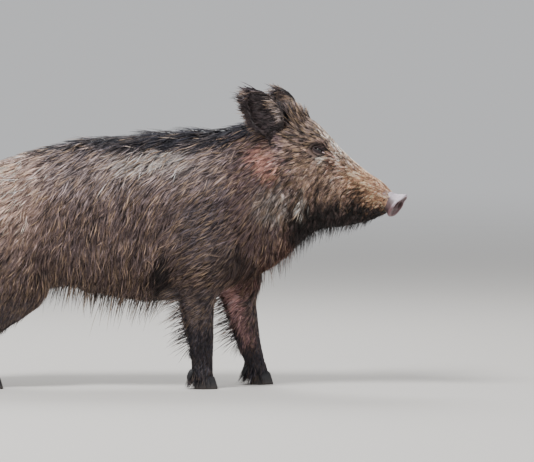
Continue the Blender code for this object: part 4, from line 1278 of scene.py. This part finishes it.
# ---------------------------------------------------------------- the eyes
# Dark brown eyes with a long level pupil under a clear domed front.  Each globe is moist and lies in its
# socket behind the lids, at the place and size of the solid eye.
EYE_ROWS, EYE_COLUMNS = 60, 72
IRIS_REACH, PUPIL_HALF = 8.6, (4.4, 2.2)
CORNEA_REACH, CORNEA_RISE = 9.0, 0.9
IRIS, IRIS_EDGE, PUPIL, EYE_WHITE = shade(34, 22, 19), shade(14, 10, 10), shade(3, 3, 4), shade(20, 15, 16)
eye_finish = Finish("eye", 0.12, Specular_IOR_Level=0.28, Coat_Weight=0.25, Coat_Roughness=0.03)
veins = eye_finish.noise(eye_finish.node("TexCoord", output=3), 900.0, 2.0)
eye_finish.painted("tint", veins, 0.8, 1.2)
eye_finish.feed("Roughness", veins * 0.08 + 0.06)
for name, hand in SIDES.items():
    middle, along, over, looks = eyes[name]
    # a globe whose front swells into the cornea: radius R - 0.4, and 0.9 (1 - (r / 9)^2) more inside 9 mm of the axis
    polar, about = np.linspace(0.01, np.pi - 0.01, EYE_ROWS)[:, None], circle(EYE_COLUMNS)[None, :]
    off_axis = (EYE_RADIUS - 0.3) * np.sin(polar)
    swell = CORNEA_RISE * np.maximum(0, 1 - (off_axis / CORNEA_REACH) ** 2) * (polar < np.pi / 2)
    radius = EYE_RADIUS - 0.4 + swell
    a, o = (radius * np.sin(polar) * wave for wave in (np.cos(about), np.sin(about)))
    a, o, out = (part.ravel() for part in (a, o, radius * np.cos(polar) + 0 * about))
    points = point_at(middle, (along, over * hand, looks), a, o, out)
    r = np.hypot(a, o)
    rays = 0.75 + 0.5 * scramble((np.arctan2(o, a) * 24).astype(np.int64) + 400, 5)
    tone = layered(
        EYE_WHITE,
        (IRIS_EDGE, ease(r, IRIS_REACH + 1.2, IRIS_REACH - 0.2)),
        (IRIS, ease(r, IRIS_REACH - 0.6, IRIS_REACH - 2.4)),
    ) * np.where(r < IRIS_REACH, rays, 1.0)[:, None]
    tone = layered(tone, (PUPIL, ease(np.hypot(a / PUPIL_HALF[0], o / PUPIL_HALF[1]), 1.15, 0.95)))
    faces = other_way(tube_faces(EYE_ROWS, EYE_COLUMNS))
    piece_of(f"eyeball_{name}", points, faces, eye_finish, "eye", tone, f"eye_{name}")

# ---------------------------------------------------------------- claws and dewclaws
# Four horn shoes to a foot: two that carry the weight and two small ones behind.  Their horn is dark
# brown-black, ringed by growth and dulled and dusted with soil near the ground.
HORN, HORN_PALE, SOIL = shade(22, 21, 25), shade(40, 37, 40), shade(76, 67, 62)
horn = Finish("horn", 0.5, Specular_IOR_Level=0.45)
place = horn.node("TexCoord", output=3)
above_floor = horn.node("SeparateXYZ", {}, {"Vector": place}, output=2)
rings = horn.noise(horn.node("Mapping", {}, {"Vector": place, "Scale": (1.0, 1.0, 7.0)}), 60.0, 4.0)
scuffs = horn.noise(place, 240.0, 5.0)
HORN_STOPS = [(0.32, HORN * 0.7), (0.52, HORN), (0.72, HORN_PALE)]
grain = horn.node("ValToRGB", {"stops": HORN_STOPS}, {"Fac": rings * 0.6 + scuffs * 0.4})
low = horn.ramped(above_floor + scuffs * 0.03, 0.034, 0.016, 0.0, 0.45)
MIX_A, MIX_B, MIX_RESULT = 6, 7, 2  # the colour sockets of a Mix node
soiled = horn.node("Mix", {"data_type": "RGBA"}, {"Factor": low, MIX_A: grain, MIX_B: (*SOIL, 1.0)}, MIX_RESULT)
horn.feed("Base Color", soiled)
horn.feed("Roughness", scuffs * 0.35 + 0.36)
horn.bumps(rings * 0.8 + scuffs * 0.3, 0.0012, 0.6)
CLAW_RINGS, CLAW_POINTS = 20, 56
TOE_LEAN, CROWN_HEIGHTS = 11.0, (20.0, 36.0)  # mm: the toe's wall leans back so far; the crown's height at heel and toe


def claw_surface(low, high, cleft):
    """Rings from sole to crown, narrower to the toe.

    Each is flat along the cleft and bowed outside: |p|^n + |q|^n = 1, with n larger on the cleft's side."""
    up, about = np.meshgrid(np.linspace(0, 1, CLAW_RINGS), circle(CLAW_POINTS), indexing="ij")
    p, q = np.cos(about), np.sin(about)
    power = np.where(q > 0, 2.3, 4.5)
    size = (np.abs(p) ** power + np.abs(q) ** power) ** (-1 / power)
    p, q = p * size, q * size
    crown = np.interp(p, (-1, 1), CROWN_HEIGHTS)
    edge = 1 - 0.07 * ease(up * crown, 3.0, 0.0) ** 2
    half_long, half_wide = (high[0] - low[0]) * 500, (high[1] - low[1]) * 500
    edge = edge * (1 - 0.16 * ease(up, 0.72, 1.0) ** 2)
    narrow = (1 - 0.42 * ease(p, 0.0, 1.1)) * (1 - 0.1 * up) * edge
    growth = 1 + 0.012 * np.sin(up * crown * 1.5 + 0.8 * p)
    long = half_long * p * edge * growth - TOE_LEAN * up * ease(p, -0.6, 1.0) + 3.0 * up * ease(p, 0.0, -1.0)
    wide = half_wide * ((q + 1) * narrow * growth - 1) * cleft
    middle = (low + high) / 2
    points = np.stack([middle[0] + long / 1000, middle[1] + wide / 1000, up * crown / 1000 + 0.0001], axis=-1)
    return points if cleft > 0 else points[:, ::-1]


DEW_LEAN, DEW_SIZES, DEW_GRID = math.radians(24), (7.6, 7.4, 15.5), (16, 20)  # its top leans forward
dew_along, dew_up = turned(np.array((1.0, 0.0, 0.0)), upward, DEW_LEAN)
dew_ways = (dew_along, np.array((0.0, 1.0, 0.0)), dew_up)
for name in list(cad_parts):
    if not name.startswith(("claw", "dewclaw")):
        continue
    low, high = (np.array(corner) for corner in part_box(name))
    if name.startswith("claw"):
        points = claw_surface(low, high, 1.0 if name.endswith("_left") else -1.0).reshape(-1, 3)
        faces = tube_faces(CLAW_RINGS, CLAW_POINTS)
    else:
        points, faces = ball((low + high) / 2, dew_ways, DEW_SIZES, *DEW_GRID), tube_faces(*DEW_GRID)
    piece_of(name + "_horn", points, faces, horn, "claw_horn", None, name)

# ---------------------------------------------------------------- floor, light and camera
# A plain pale floor that fades out towards the horizon.  The light is a broad soft key high on the left, with
# a weak lamp behind and a weaker one in front, and the camera looks level with the animal's right side.
FLOOR_HALF, FADE_FROM, FADE_TO = 60.0, 2.0, 16.0  # metres
floor_mesh = bpy.data.meshes.new("floor")
floor_corners = [(x * FLOOR_HALF, y * FLOOR_HALF, 0) for x, y in ((-1, -1), (1, -1), (1, 1), (-1, 1))]
floor_mesh.from_pydata(floor_corners, [], [(0, 1, 2, 3)])
floor = shown("floor", floor_mesh)
floor_finish = Finish("floor", 0.9, Specular_IOR_Level=0.1, Base_Color=(0.62, 0.60, 0.57, 1.0))
place = floor_finish.node("TexCoord", output=3)
distance = floor_finish.node("VectorMath", {"operation": "LENGTH"}, {"Vector": place}, output=1)
floor_finish.feed("Alpha", floor_finish.ramped(distance, FADE_FROM, FADE_TO, 1.0, 0.0, "SMOOTHSTEP"))
floor_mesh.materials.append(floor_finish.material)

world = bpy.data.worlds.new("studio")
world.use_nodes = True
sky = world.node_tree.nodes["Background"].inputs
sky["Color"].default_value, sky["Strength"].default_value = (0.80, 0.81, 0.83, 1.0), 0.75
bpy.context.scene.world = world


def aimed(name, data, at, aim):
    """An object that stands at one place and looks at another."""
    holder = shown(name, data)
    holder.location = at
    holder.rotation_euler = (Vector(aim) - Vector(at)).to_track_quat("-Z", "Y").to_euler()
    return holder


LAMPS = {  # place, aim, width in metres and power in watts
    "key": ((-1.8, -2.6, 4.6), (0.1, 0.0, 0.45), 1.8, 330.0),
    "rim": ((-0.6, 2.8, 3.6), (0.1, 0.0, 0.5), 2.0, 120.0),
    "fill": ((3.2, -3.0, 1.6), (0.3, 0.0, 0.4), 2.4, 40.0),
}
for name, (at, aim, wide, power) in LAMPS.items():
    lamp = bpy.data.lights.new(name, "AREA")
    lamp.shape, lamp.size, lamp.energy = "DISK", wide, power
    aimed(name, lamp, at, aim)

CAMERA_AIM, CAMERA_FAR, CAMERA_DIP = Vector((0.2741, 0.0, 0.409)), 12.0, math.radians(2.5)  # metres, and its view's dip
camera_at = CAMERA_AIM + CAMERA_FAR * Vector((0, -math.cos(CAMERA_DIP), math.sin(CAMERA_DIP)))
camera_data = bpy.data.cameras.new("camera")
camera_data.sensor_width, camera_data.lens, camera_data.clip_end = 36.0, 308.1, 200.0
bpy.context.scene.camera = aimed("camera", camera_data, camera_at, CAMERA_AIM)
